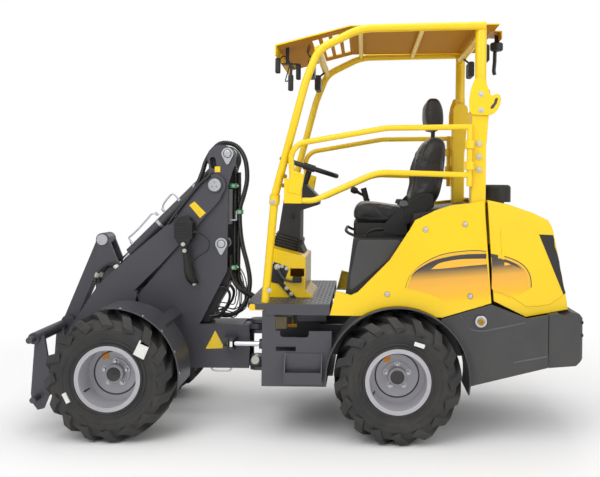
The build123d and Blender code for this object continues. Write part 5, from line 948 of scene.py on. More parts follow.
@dataclass
class PinCovers:
    """Zinc pin retainers on the tower and round covers on the boom's heel."""

    drop_radius: float = 34.0
    drop_reach: float = 62.0
    foot_radius: float = 9.0

    def drop(self, shell: Shell, x: float, z: float, side: float) -> None:
        """Add a teardrop plate: a round head whose lower arc runs down to a narrow foot.

        Args:
            shell: Shell that takes the plate.
            x: Pin's place along the machine.
            z: Pin's height.
            side: 1 for the left side, -1 for the right.
        """
        turn = np.radians(np.linspace(-28.0, 208.0, 26))
        head = np.column_stack((x + self.drop_radius * np.cos(turn), z + self.drop_radius * np.sin(turn)))
        foot_turn = np.radians(np.linspace(208.0, 332.0, 8))
        foot_z = z - self.drop_reach + self.foot_radius
        foot = np.column_stack((
            x + self.foot_radius * np.cos(foot_turn), foot_z + self.foot_radius * np.sin(foot_turn)))
        outline = np.vstack((head, foot))
        shell.side_slab(outline, side, 101.0, 101.8)

    def build(self) -> None:
        """Make the retainers, the pins' heads with their painted shade rings, the boom's covers and the
        painted shade of their holes.
        """
        plates, heads, dark = Shell(), Shell(), Shell()
        for side in SIDES:
            for x, z in TOWER_PINS:
                self.drop(plates, x, z, side)
            for x, z in TOWER_PINS:
                # Dark iron ring round each pin's head: painted shade in the gap under the head.
                dark.button(x, 101.8, z, side, [(0, 24), (0.8, 24), (0.8, 20), (0, 20)], 28, ring=True)
                heads.button(
                    x, 101.0, z, side, [(0, 19), (4, 19), (5, 17), (5, 13), (3.5, 12.5), (3.5, 0.2)], 28)
        plates.piece("pin_retainers", ZINC, "front_frame", bevel=0.4)
        heads.piece("pin_heads", ZINC, "front_frame")
        dark.piece("pin_head_shade_rings", IRON, "front_frame", Slot.DARK)
        dark = Shell()
        disc = Shell()
        x, z = BOOM_PIVOT
        for side in SIDES:
            disc.button(x, 125.0, z, side, [(-7, 36), (1.2, 36), (2.4, 34.5), (2.4, 0.2)], 40)
            for dx, dz in ((-13, -9), (13, -9), (0, 15)):
                # Three dark dots on each cover: painted shade standing for its holes.
                dark.button(x + dx, 127.0, z + dz, side, [(0, 3.2), (0.8, 3.2), (0.8, 0.2)], 10)
        disc.piece("boom_pivot_covers", ZINC, "boom")
        dark.piece("boom_cover_hole_shade", SOFT_RUBBER, "boom")


@dataclass
class Wheels:
    """Wheel bolts, hub rings, valve stems and the rings moulded in the tyres' sidewalls."""

    bolt_circle: float = 61.0
    bolt_count: int = 5
    track: float = 790.0
    flange_y: float = 405.0
    disc_y: float = 400.0
    cap_y: float = 441.0

    def wheel(self, end: str, x: float, side: str, sign: float) -> None:
        """Dress one wheel.

        Args:
            end: rear or front.
            x: Axle's place in millimetres.
            side: left or right.
            sign: 1 for left, -1 for right.
        """
        bolts, rings, marks = Shell(), Shell(), Shell()
        middle = sign * self.track / 2
        turn = np.radians(np.arange(self.bolt_count) * 360.0 / self.bolt_count + 18.0)
        for angle in turn:
            seat = (
                x + self.bolt_circle * math.cos(angle), sign * self.flange_y,
                AXLE_HEIGHT + self.bolt_circle * math.sin(angle))
            bolts.bolt(seat, (0.0, sign, 0.0), 20.0, 16.0)
        body = f"wheel_{end}_{side}"
        bolts.piece(f"wheel_bolts_{end}_{side}", ZINC, body)
        hub = Shell()
        hoop = [(-2, 118), (2, 118), (3, 115), (2, 112), (-2, 110)]
        hub.button(x, self.disc_y, AXLE_HEIGHT, sign, hoop, 48, ring=True)
        cap = [(-1, 38), (2, 36), (3.2, 30), (1.5, 26), (1.5, 6), (3.5, 5), (3.5, 0.2)]
        hub.button(x, self.cap_y, AXLE_HEIGHT, sign, cap, 32)
        hub.piece(f"hub_rings_{end}_{side}", IRON, body)
        for radius, y_out in ((176.0, 140.2), (196.0, 143.4), (228.0, 147.2)):
            ring = [
                (y_out + rise, radius + reach)
                for rise, reach in ((-3, -4), (0.4, -3), (1.2, 0), (0.4, 3), (-3, 4))]
            for flip in (1.0, -1.0):
                rings.lathe(at(x, middle, AXLE_HEIGHT), (0.0, flip, 0.0), ring, 72, ring=True)
        rings.piece(f"sidewall_rings_{end}_{side}", RUBBER, body)
        stem = [(0, 4), (40, 4), (42, 5.5), (56, 5.5), (57, 4)]
        marks.lathe(at(x + 118.0, middle + sign * 60.0, AXLE_HEIGHT - 70.0), (0.25, sign, -0.1), stem, 10)
        marks.piece(f"valve_{end}_{side}", SOFT_RUBBER, body)

    def build(self) -> None:
        """Dress the four wheels."""
        for end, x in (("rear", 0.0), ("front", WHEELBASE)):
            for sign, side in NAMED_SIDES:
                self.wheel(end, x, side, sign)


@dataclass
class SoftSeat:
    """Seat cushion, back and headrest, swollen by a cloth simulation, and the headrest's stays."""

    pressure: float = 4.0
    cap: float = 0.009
    voxel: float = 0.006
    frames: int = 20
    layers: int = 25
    wing_from: float = 0.125
    wing_width: float = 0.05
    wing_push: float = 0.016
    middle_dip: float = 0.012
    bell_height: float = 1.40
    bell_reach: float = 0.14
    front_edge: float = REAR_AXLE - 0.200
    # name, node that it stands for, half width, taper, fill, side outline
    pads: tuple = (
        ("seat_cushion_pad", "seat_cushion", 228.0, 16.0, 0.8, (
            (-44, 1136), (60, 1132), (160, 1132), (236, 1142), (250, 1172), (238, 1212), (200, 1228),
            (120, 1226), (30, 1214), (-46, 1200))),
        ("seat_back_pad", "seat_back", 220.0, 24.0, 0.7, (
            (-180, 1208), (-222, 1262), (-246, 1350), (-258, 1451), (-264, 1560), (-252, 1604),
            (-215, 1614), (-178, 1608), (-156, 1580), (-132, 1524), (-112, 1430), (-104, 1330), (-78, 1262),
            (-84, 1228), (-120, 1212))),
        ("headrest_pad", "seat_back", 124.0, 30.0, 0.7, (
            (-178, 1652), (-240, 1656), (-262, 1676), (-262, 1740), (-250, 1796), (-234, 1828),
            (-206, 1836), (-178, 1830), (-164, 1796), (-160, 1716))))

    def pad(self, name: str, outline: Sequence[Sequence[float]], half: float, taper: float) -> object:
        """Closed pad: a smooth side outline whose layers shrink towards its sides by a quarter-circle law.

        Args:
            name: Name of the pad.
            outline: Rows of x and z in millimetres round the pad.
            half: Half of its width in millimetres.
            taper: How far the side faces pull in, in millimetres.

        Returns:
            The new object.
        """
        line = np.asarray(outline, float)
        closed = np.vstack((line, line[:1]))
        span = curve_through([(x, 0.0, z) for x, z in closed], 6)[:-1]
        flat = (span - np.array((REAR_AXLE, 0.0, 0.0))) / MM
        middle = flat.mean(axis=0)
        share = np.linspace(-1.0, 1.0, self.layers)
        shrink = 1.0 - taper / 100.0 * (1.0 - np.sqrt(np.clip(1.0 - np.abs(share) ** 6, 0.0, 1.0)))
        layers = middle + (flat - middle)[None] * shrink[:, None, None]
        layers[:, :, 1] = (share * half)[:, None]
        shell = Shell()
        shell.grid(layers * MM + np.array((REAR_AXLE, 0.0, 0.0)))
        return shell.piece(name, VINYL, None)

    def swell(self, pad: object) -> None:
        """Remesh the pad, blow it up with cloth, cap the move of each point and apply it.

        Args:
            pad: Pad to swell.
        """
        remesh = pad.modifiers.new("even", "REMESH")
        remesh.mode = "VOXEL"
        remesh.voxel_size = self.voxel
        self.settle(pad)
        rest = self.places(pad)
        cloth = pad.modifiers.new("cloth", "CLOTH")
        cloth.settings.quality = 4
        cloth.settings.use_pressure = True
        cloth.settings.uniform_pressure_force = self.pressure
        cloth.settings.effector_weights.gravity = 0.0
        for number in range(1, self.frames + 1):
            bpy.context.scene.frame_set(number)
        self.settle(pad)
        bpy.context.scene.frame_set(1)
        moved = self.places(pad) - rest
        length = np.linalg.norm(moved, axis=1, keepdims=True)
        capped = rest + moved * np.minimum(1.0, self.cap / np.maximum(length, 1e-9))
        pad.data.vertices.foreach_set("co", capped.ravel())
        pad.data.update()
        pad.data.shade_smooth()

    def settle(self, pad: object) -> None:
        """Put the evaluated mesh in place of the pad's own and drop its modifiers.

        Args:
            pad: Pad to settle.
        """
        graph = bpy.context.evaluated_depsgraph_get()
        made = bpy.data.meshes.new_from_object(pad.evaluated_get(graph))
        pad.modifiers.clear()
        pad.data = made

    def places(self, pad: object) -> Array:
        """Return the pad's points as rows."""
        found = np.empty(len(pad.data.vertices) * 3)
        pad.data.vertices.foreach_get("co", found)
        return found.reshape(-1, 3)

    def build(self) -> None:
        """Make the pads and the headrest's stays."""
        for name, node, half, taper, fill, outline in self.pads:
            pad = self.pad(name, outline, half, taper)
            if name == "seat_back_pad":
                self.bolster(pad)
            self.swell(pad)
            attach(pad, "rear_frame")
            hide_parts(node)
        stays = Shell()
        for y in (-52.0, 52.0):
            stays.tube(spots([(-214, y, 1580), (-214, y, 1680)]), 7.0 * MM, 12)
        stays.piece("headrest_stays", SOFT_RUBBER, "rear_frame")

    def bolster(self, back: object) -> None:
        """Push the back's side wings forward: a smooth step of the width times a bell of the height.

        Args:
            back: The back's pad.
        """
        found = self.places(back)
        share = np.clip((np.abs(found[:, 1]) - self.wing_from) / self.wing_width, 0.0, 1.0)
        wing = share * share * (3 - 2 * share)
        bell = np.exp(-(((found[:, 2] - self.bell_height) / self.bell_reach) ** 2))
        push = self.wing_push * wing * bell - self.middle_dip * (1 - wing) * bell
        found[:, 0] += np.where(found[:, 0] > self.front_edge, push, 0.0)
        back.data.vertices.foreach_set("co", found.ravel())
        back.data.update()


def hood_half(x: Array | float) -> Array | float:
    """Half of the hood's width in millimetres at a place along the machine."""
    return 448.0 - 50.0 * (-449.0 - x) / 450.0


def panel_half(x: Array) -> Array:
    """Half of the width over the side panels in millimetres, the same all along."""
    return np.full(np.shape(x), PANEL_FACE)


def plate_on(shell: Shell, outline: Sequence[Sequence[float]], base: Callable, lift: float, depth: float,
             side: float) -> None:
    """Add a plate that follows a side surface: each corner stands at the surface's half-width plus lift.

    Args:
        shell: Shell that takes the plate.
        outline: Rows of x and z in millimetres.
        base: Half-width of the surface for an array of x.
        lift: Height of the plate's face over the surface.
        depth: How far the plate reaches back from its face.
        side: 1 for the left side, -1 for the right.
    """
    flat = np.asarray(outline, float)
    turned = np.sum(flat[:, 0] * np.roll(flat[:, 1], -1) - np.roll(flat[:, 0], -1) * flat[:, 1])
    flat = flat if turned * side > 0 else flat[::-1]
    rows = [
        spots(np.column_stack((flat[:, 0], side * (base(flat[:, 0]) + reach), flat[:, 1])))
        for reach in (lift, lift - depth)]
    shell.grid(np.stack(rows))


def smooth_line(points: Sequence[Sequence[float]], steps: int = 8) -> Array:
    """Smooth side-view line through corners, as x and z in millimetres."""
    path = curve_through([(x, 0.0, z) for x, z in points], steps)
    return (path[:, (0, 2)] - np.array((REAR_AXLE, 0.0))) / MM


def strip_on(shell: Shell, upper: Sequence[Sequence[float]], lower: Sequence[Sequence[float]], base: Callable,
             lift: float, side: float, steps: int = 8) -> None:
    """Add a thin strip between two lines of equally many corners, as quads across the strip.

    Args:
        shell: Shell that takes the strip.
        upper: Rows of x and z in millimetres.
        lower: The same number of rows along the other edge.
        base: Half-width of the surface for an array of x.
        lift: Height over the surface in millimetres.
        side: 1 for the left side, -1 for the right.
        steps: Places on each span.
    """
    one, two = smooth_line(upper, steps), smooth_line(lower, steps)
    ring = []
    for flat, reach in ((one, lift), (two, lift), (two, lift - 0.8), (one, lift - 0.8)):
        ring.append(spots(np.column_stack((flat[:, 0], side * (base(flat[:, 0]) + reach), flat[:, 1]))))
    shell.grid(np.stack(ring, axis=1))


@dataclass
class SideGraphics:
    """Swoosh on the side panels and hood, blank plates on boom and tower, blank stickers."""

    arc: tuple = (
        (-34, 800), (-46, 840), (-72, 884), (-143, 938), (-232, 977), (-339, 994), (-410, 997), (-452, 994))

    def swoosh(self, side: float, name: str) -> None:
        """Make the swoosh of one side: fades, golden lens and arcs, and dark outlines.

        Args:
            side: 1 for the left side, -1 for the right.
            name: left or right.
        """
        fringe = [(x - 3 if x > -100 else x, z + 4) for x, z in self.arc]
        inner = [(x + 5 if x > -100 else x + 2, z - 11) for x, z in self.arc]
        # name, finish, body, then rows of upper line, lower line, surface and lift
        layers = (
            ("graphic_fade", FADE, "rear_frame", (
                ([(-44, 802), (-63, 850), (-99, 893), (-178, 934), (-267, 955), (-357, 966), (-452, 970)],
                 [(-46, 798), (-109, 786), (-180, 765), (-250, 730), (-318, 704), (-390, 712), (-480, 736)],
                 panel_half, 0.9),)),
            ("graphic_gold", GOLD, "rear_frame", (
                ([(-168, 901), (-214, 933), (-303, 952), (-384, 957), (-454, 958)],
                 [(-170, 900), (-232, 905), (-322, 915), (-384, 922), (-456, 929)], panel_half, 1.6),
                (self.arc, inner, panel_half, 1.4))),
            ("graphic_dark", PRINT_DARK, "rear_frame", (
                (fringe, self.arc, panel_half, 1.4),
                ([(-63, 861), (-99, 899), (-178, 944), (-267, 968), (-357, 980), (-453, 983)],
                 [(-64, 859), (-103, 892), (-179, 927), (-268, 949), (-357, 962), (-453, 966)], panel_half,
                 1.5))),
            ("hood_graphic_fade", FADE, "hood", (
                ([(-485, 966), (-500, 962), (-530, 957), (-560, 948), (-593, 939), (-629, 923), (-664, 894),
                  (-686, 850), (-692, 800)],
                 [(-485, 800), (-500, 790), (-530, 780), (-552, 772), (-580, 760), (-610, 762), (-640, 772),
                  (-666, 788), (-690, 797)], hood_half, 3.9),)),
            ("hood_graphic_dark", PRINT_DARK, "hood", (
                ([(-551, 972), (-593, 958), (-632, 940), (-670, 908), (-694, 861), (-699, 806)],
                 [(-551, 968), (-592, 954), (-630, 936), (-667, 905), (-690, 860), (-695, 806)], hood_half,
                 4.4),
                ([(-551, 955), (-580, 945), (-612, 928), (-640, 905)],
                 [(-551, 939), (-580, 931), (-611, 919), (-641, 903)], hood_half, 4.4),
                ([(-478, 983), (-497, 980), (-517, 976)], [(-479, 964), (-497, 962), (-518, 958)],
                 hood_half, 1.6))),
            ("hood_graphic_gold", GOLD, "hood", (
                ([(-551, 966), (-592, 952), (-629, 934), (-666, 903), (-688, 859), (-693, 806)],
                 [(-551, 956), (-590, 942), (-625, 926), (-658, 898), (-680, 856), (-685, 808)], hood_half,
                 4.6),
                ([(-551, 938), (-566, 936), (-584, 928)], [(-551, 921), (-566, 923), (-585, 926)],
                 hood_half, 4.6))))
        for title, finish, body, strips in layers:
            shell = Shell()
            for upper, lower, surface, lift in strips:
                strip_on(shell, upper, lower, surface, lift, side)
            shell.piece(f"{title}_{name}", finish, body)

    def plates(self) -> None:
        """Blank yellow plates on boom, tower and frame, and the stickers on the wheels."""
        for side, name in NAMED_SIDES:
            boom, tower = Shell(), Shell()
            boom.side_slab([(1175, 1208), (1146, 1230), (1081, 1166), (1113, 1136)], side, 116.6, 117.8)
            boom.piece(f"boom_plate_{name}", PLATE, "boom")
            tower.side_slab([(1006, 1430), (1037, 1430), (1037, 1398), (1006, 1398)], side, 95.6, 96.8)
            tower.side_slab([(1024, 495), (971, 395), (1078, 390)], side, 95.6, 96.9)
            tower.piece(f"tower_plate_{name}", PLATE, "front_frame")
        half, tall, faces = 27.0, 10.0, (541.0, 550.0)
        for wheel, x, (px, pz, lean) in (
                ("rear", 0.0, (-105, 525, 0.30)), ("front", WHEELBASE, (1682, 238, 1.1))):
            white = Shell()
            corners = [
                (px + a * half * math.cos(lean) - b * tall * math.sin(lean),
                 pz + a * half * math.sin(lean) + b * tall * math.cos(lean))
                for a, b in ((1, 1), (-1, 1), (-1, -1), (1, -1))]
            white.slab(corners, *faces)
            if wheel == "front":
                white.slab([(1311, 535), (1263, 505), (1291, 437), (1344, 464)], *faces)
            white.piece(f"tyre_sticker_{wheel}", PALE, f"wheel_{wheel}_left")
            orange = Shell()
            orange.slab([(x + 76, 434), (x + 40, 440), (x + 36, 406), (x + 71, 401)], 399.0, 402.0)
            orange.piece(f"rim_sticker_{wheel}", ORANGE, f"wheel_{wheel}_left")

    def build(self) -> None:
        """Make every graphic."""
        for side, name in NAMED_SIDES:
            self.swoosh(side, name)
        self.plates()


@dataclass
class HoodDetails:
    """Raised panels on the hood's sides, panel screws with painted shadow rings, filler cap, painted
    highlight strips on the cover creases and ridges, and bolts.
    """

    screws: tuple = ((-136, 1106), (-341, 1135), (58, 768), (-372, 762))

    def build(self) -> None:
        """Make the raised panels, the painted highlight strips on the creases and the fasteners."""
        raised = [
            (-528, 1108), (-535, 1118), (-552, 1121), (-600, 1120), (-717, 1093), (-736, 1084), (-872, 768),
            (-868, 762), (-800, 716), (-735, 706), (-682, 704), (-668, 707), (-620, 738), (-568, 772),
            (-556, 788), (-551, 840), (-536, 985), (-527, 1096)]
        for side, name in NAMED_SIDES:
            wedge = Shell()
            plate_on(
                wedge,
                [(-730, 1084), (-812, 1081), (-818, 1060), (-822, 1022), (-836, 985), (-848, 941),
                 (-852, 905), (-862, 869), (-870, 820), (-884, 775), (-866, 764)], hood_half, 1.4, 5.0,
                side)
            wedge.piece(f"hood_mesh_{name}", PLASTIC, "hood")
            shell = Shell()
            plate_on(shell, raised, hood_half, 3.0, 6.0, side)
            shell.piece(f"hood_raised_{name}", YELLOW, "hood", bevel=2.2)
            cups, heads, dark = Shell(), Shell(), Shell()
            for x, z in self.screws:
                # Darker yellow disc round each screw's washer: a painted shadow ring in the screw's dish.
                dark.button(x, PANEL_FACE, z, side, [(-2, 16), (0.7, 16), (0.9, 15), (0.9, 0.2)], 28)
                cups.button(x, PANEL_FACE, z, side, [(0, 12.5), (1.6, 12.5), (2.4, 11), (2.4, 0.2)], 28)
                heads.button(x, 462.0, z, side, [(0, 7), (2.2, 6.4), (3.4, 4), (3.6, 0.2)], 20)
            dark.piece(f"screw_shadow_ring_{name}", DEEP_YELLOW, "rear_frame")
            cups.piece(f"screw_washers_{name}", ZINC, "rear_frame")
            heads.piece(f"screw_heads_{name}", ZINC, "rear_frame")
            cap = Shell()
            cap.button(
                -428, 468.0, 633, side, [(-3, 30), (4, 30), (6, 27), (6, 21), (3.5, 19), (3.5, 0.2)], 40)
            cap.piece(f"cap_ring_{name}", ZINC, "rear_frame")
            core = Shell()
            core.button(-428, 471.0, 633, side, [(0, 18), (5, 18), (7, 15), (7, 9), (4, 8), (4, 0.2)], 6)
            core.piece(f"cap_core_{name}", BRASS, "rear_frame")
            # Lighter grey strips along the cover's crease and ridge: painted highlights where light catches
            # them.
            crease = Shell()
            strip_on(
                crease,
                [(-316, 670), (-334, 640), (-357, 610), (-380, 594), (-410, 587), (-450, 588), (-540, 606),
                 (-655, 631)],
                [(-322, 668), (-339, 636), (-361, 604), (-384, 587), (-412, 580), (-451, 581), (-542, 599),
                 (-656, 625)], panel_half, 2.0, side, 6)
            crease.piece(f"cover_crease_highlight_{name}", COVER_LIGHT, "rear_frame")
            ridge = Shell()
            strip_on(
                ridge, [(-600, 424), (-690, 443), (-776, 460)], [(-600, 419), (-690, 434), (-776, 450)],
                panel_half, 2.0, side, 6)
            ridge.piece(f"cover_ridge_highlight_{name}", COVER_LIGHT, "rear_frame")
            inset = Shell()
            inset_line = [
                (214, 1040), (196, 1046), (-4, 1046), (-14, 1038), (40, 950), (240, 783), (256, 790),
                (252, 860)]
            inset.side_slab(inset_line, side, 423.0, 428.0)
            inset.piece(f"seat_box_inset_{name}", COVER, "rear_frame", bevel=2.4)
        nubs = Shell()
        for y in (-300.0, 300.0):
            for z in (564.0, 627.0):
                nubs.bolt((-961.0, y, z), (-1.0, 0.0, 0.0), 22.0, 13.5)
        for side in SIDES:
            for z in (560.0, 627.0):
                nubs.lathe(
                    at(-955.0, side * 430.0, z), (-1.0, 0.0, 0.0), [(-6, 9), (12, 9), (14, 6.5), (14, 0.2)],
                    12)
        nubs.piece("counterweight_bolts", SOFT_RUBBER, "rear_frame")


@dataclass
class Console:
    """Column bellows, side plate, pedal, lever, deck-front details and the key."""

    swell: float = 3.2
    folds: int = 6
    roundness: float = 0.45
    foot: tuple[float, float] = (633.0, 946.0)
    head: tuple[float, float] = (607.0, 1038.0)
    foot_half: tuple[float, float] = (84.0, 122.0)
    head_half: tuple[float, float] = (80.0, 114.0)
    lean: tuple[float, float] = (0.96, 0.27)

    def bellows(self) -> None:
        """Bellows at the column's foot: rows of rounded rectangles whose size swells by a sine."""
        rows = np.linspace(0.0, 1.0, 61)
        swell = self.swell * np.sin(rows * 2 * np.pi * self.folds)
        turn = np.linspace(0.0, 2 * np.pi, 48, endpoint=False)
        shape_x = np.sign(np.cos(turn)) * np.abs(np.cos(turn)) ** self.roundness
        shape_y = np.sign(np.sin(turn)) * np.abs(np.sin(turn)) ** self.roundness
        centre_x, centre_z = (a + (b - a) * rows for a, b in zip(self.foot, self.head))
        wide_x, wide_y = (a + (b - a) * rows + swell for a, b in zip(self.foot_half, self.head_half))
        half_x = wide_x[:, None] * shape_x
        half_y = wide_y[:, None] * shape_y
        x = centre_x[:, None] + half_x * self.lean[0]
        z = centre_z[:, None] + half_x * self.lean[1]
        places = np.stack((x * MM + REAR_AXLE, half_y * MM, z * MM), axis=-1)
        shell = Shell()
        shell.grid(places)
        shell.piece("column_bellows", SOFT_RUBBER, "rear_frame")

    def plates(self) -> None:
        """Black side plate with white bolts, pedal arm and pad, lever and its bracket."""
        left = (0.0, 1.0, 0.0)
        plate, bolts, arm, pad = Shell(), Shell(), Shell(), Shell()
        plate.slab([(693, 914), (600, 881), (592, 868), (620, 792), (632, 783), (690, 796)], 249.0, 254.0)
        for x, z in ((684, 905), (655, 880), (629, 884), (604, 872)):
            bolts.bolt((x, 254.0, z), left, 13.0 if x != 655 else 20.0, 8.0)
        arm.line(
            [(650, 266, 868), (630, 266, 832), (606, 266, 810), (566, 266, 800)], 7.0, 10,
            across=(0.0, 1.0, 0.1))
        pad.box((520, 256, 798), (568, 290, 830))
        pad.piece("pedal_pad", SOFT_RUBBER, "rear_frame", bevel=4.0)
        plate.slab(
            [(688, 842), (676, 848), (620, 792), (538, 702), (545, 692), (560, 694), (640, 780)], 257.0,
            262.0)
        for x, z in ((602, 764), (576, 734)):
            bolts.bolt((x, 262.0, z), left, 14.0, 8.0)
        plate.piece("console_plates", PLASTIC, "rear_frame", bevel=1.2)
        bolts.piece("console_bolts", PALE_STEEL, "rear_frame")
        arm.piece("pedal_arm", FRAME_GREY, "rear_frame")
        key = Shell()
        key.lathe(at(588, 104.0, 1150), (0.0, 1.0, 0.0), [(-2, 13), (3, 13), (5, 11), (5, 0.2)], 24)
        key.slab([(592, 1168), (584, 1168), (586, 1140), (590, 1140)], 105.0, 118.0)
        key.piece("starter_key", SOFT_RUBBER, "rear_frame")
        seam = Shell()
        for side in SIDES:
            seam.side_slab([(598, 1180), (602, 1180), (582, 1074), (578, 1074)], side, 104.6, 105.8)
        seam.piece("column_seam", SOFT_RUBBER, "rear_frame")

    def latches(self) -> None:
        """Latch boxes at the guards' front ends, with copper-coloured bolts."""
        for side, name in NAMED_SIDES:
            shell, bolts = Shell(), Shell()
            shell.side_slab([(560, 1405), (494, 1386), (512, 1277), (582, 1292)], side, 441.0, 477.0)
            shell.piece(f"guard_latch_{name}", YELLOW, f"guard_{name}", bevel=5.0)
            for x, z in ((596, 1374), (604, 1326)):
                bolts.bolt((x, side * 452.0, z), (0.0, side, 0.0), 14.0, 8.0)
            bolts.piece(f"latch_bolts_{name}", BRASS, f"guard_{name}")

    def deck_front(self) -> None:
        """Lip on the deck's front edge, the block and bar below it, and the ribs of step and deck."""
        lip = Shell()
        for side in SIDES:
            lip.side_slab(
                [(700, 676), (768, 676), (776, 684), (776, 700), (768, 708), (744, 708), (744, 681),
                 (700, 681)], side, 380.0, 458.0)
        lip.piece("deck_edge", YELLOW_TRIM, "rear_frame", bevel=1.5)
        block = Shell()
        block.box((592, 288, 556), (676, 330, 622))
        block.piece("valve_block", SAND, "rear_frame", bevel=3.0)
        bar = Shell()
        bar.box((538, 296, 560), (592, 310, 580))
        bar.lathe(at(565, 303, 580), (0.0, 0.0, 1.0), [(0, 9), (26, 9), (28, 7), (40, 7), (40, 0.2)], 6)
        bar.piece("valve_bar", BRASS, "rear_frame", bevel=1.0)
        stay = Shell()
        stay.box((560, 292, 618), (700, 326, 657))
        stay.box((380, 288, 592), (540, 300, 657))
        stay.piece("valve_bracket", FRAME_GREY, "rear_frame", bevel=2.0)
        treads = Shell()
        for side in SIDES:
            for x in np.arange(404.0, 580.0, 14.0):
                low, high = sorted((side * 462.0, side * 500.0))
                treads.box((x, low, 341.0), (x + 6.0, high, 344.5))
        treads.piece("step_ribs", FRAME_GREY, "rear_frame", bevel=0.8)
        ribs = Shell()
        for x in np.arange(372.0, 780.0, 22.0):
            for y in np.arange(-430.0, 431.0, 43.0):
                if abs(y) < 150 and x > 440:
                    continue
                reach = 6.5 if (int(x / 22) + int((y + 430) / 43)) % 2 else -6.5
                ribs.slab(
                    [(x - 8, 711.5), (x + 8, 711.5), (x + 6, 713.2), (x - 6, 713.2)], y + reach - 2.0,
                    y + reach + 2.0)
        ribs.piece("deck_tread", FRAME_GREY, "rear_frame", Slot.DECK)

    def build(self) -> None:
        """Make every part."""
        self.bellows()
        self.plates()
        self.latches()
        self.deck_front()


@dataclass
class Underbody:
    """Drum in the articulation's gap, tower's black inner plates of painted shade, bolts, rivets, post ears
    with painted shade in their slots and tie-down loops.
    """

    guard_radius: float = 357.0

    def build(self) -> None:
        """Make the parts."""
        drum = Shell()
        drum.lathe(
            at(800, 30, 322), (0.0, 1.0, 0.0), [(0, 26), (34, 26), (37, 23), (37, 9), (34, 9), (34, 0.2)],
            32)
        drum.piece("joint_drum", PALE_STEEL, "rear_frame")
        inner, mass = Shell(), Shell()
        # Black plates inside the tower's head: painted shade between its side plates.
        for side in SIDES:
            inner.side_slab(
                [(1002, 1404), (1074, 1404), (1078, 1470), (1062, 1500), (1040, 1526), (1002, 1520)], side,
                50.0, 54.0)
        inner.piece("tower_inner_shade_plates", PLASTIC, "front_frame")
        mass.slab(
            [(1128, 532), (964, 856), (944, 842), (946, 790), (976, 712), (1020, 636), (1050, 560),
             (1058, 532)], -58.0, 58.0)
        mass.piece("hose_guard", PLASTIC, "front_frame", bevel=6.0)
        rivets = Shell()
        for side in SIDES:
            for degrees in (98.0, 118.0, 138.0, 158.0, 176.0):
                angle = math.radians(degrees)
                out = (math.cos(angle), 0.0, math.sin(angle))
                place = (
                    WHEELBASE + self.guard_radius * out[0], side * 492.0,
                    AXLE_HEIGHT + self.guard_radius * out[2])
                rivets.lathe(at(*place), out, [(-3, 7), (1, 7), (3, 5), (3.6, 0.4)], 14)
        rivets.piece("mudguard_rivets", ZINC, "front_frame")
        bolts = Shell()
        for side in SIDES:
            for x, z in ((-420, 1813), (-420, 1730)):
                bolts.bolt((x, side * 447.0, z), (0.0, side, 0.0), 18.0, 9.0)
        bolts.piece("canopy_leg_bolts", PALE_STEEL, "canopy")
        posts = Shell()
        for side in SIDES:
            for x, z in ((-413, 1556), (-413, 1488), (-414, 1421)):
                posts.bolt((x, side * 440.0, z), (0.0, side, 0.0), 18.0, 9.0)
            for x, z in ((660, 1240), (672, 780)):
                posts.bolt((x, side * 447.0, z), (0.0, side, 0.0), 16.0, 8.0)
        posts.piece("post_bolts", PALE_STEEL, "rear_frame")
        ears, slots = Shell(), Shell()
        for side in SIDES:
            ears.side_slab(
                [(-418, 1908), (-440, 1890), (-458, 1840), (-466, 1812), (-479, 1806), (-492, 1814),
                 (-506, 1816), (-520, 1806), (-524, 1788), (-520, 1762), (-506, 1732), (-488, 1712),
                 (-466, 1703), (-376, 1706), (-360, 1722), (-358, 1781), (-366, 1840), (-384, 1890)], side,
                441.0, 447.0)
            # Dark sheet over each ear's slot: painted shade in the open slot.
            slots.side_slab(
                [(-470, 1736), (-484, 1740), (-500, 1764), (-508, 1790), (-502, 1796), (-492, 1790),
                 (-486, 1768), (-468, 1746)], side, 446.6, 447.6)
        ears.piece("post_ears", YELLOW, "rear_frame", bevel=1.2)
        slots.piece("ear_slot_shade", PRINT_DARK, "rear_frame")
        loop = Shell()
        bar = (
            (1046, 88, 300), (1040, 90, 272), (1018, 90, 264), (956, 90, 264), (934, 90, 272),
            (928, 88, 300))
        for side in SIDES:
            loop.line([(x, side * y, z) for x, y, z in bar], 5.0)
        loop.piece("tie_down_loops", PALE_STEEL, "front_frame")


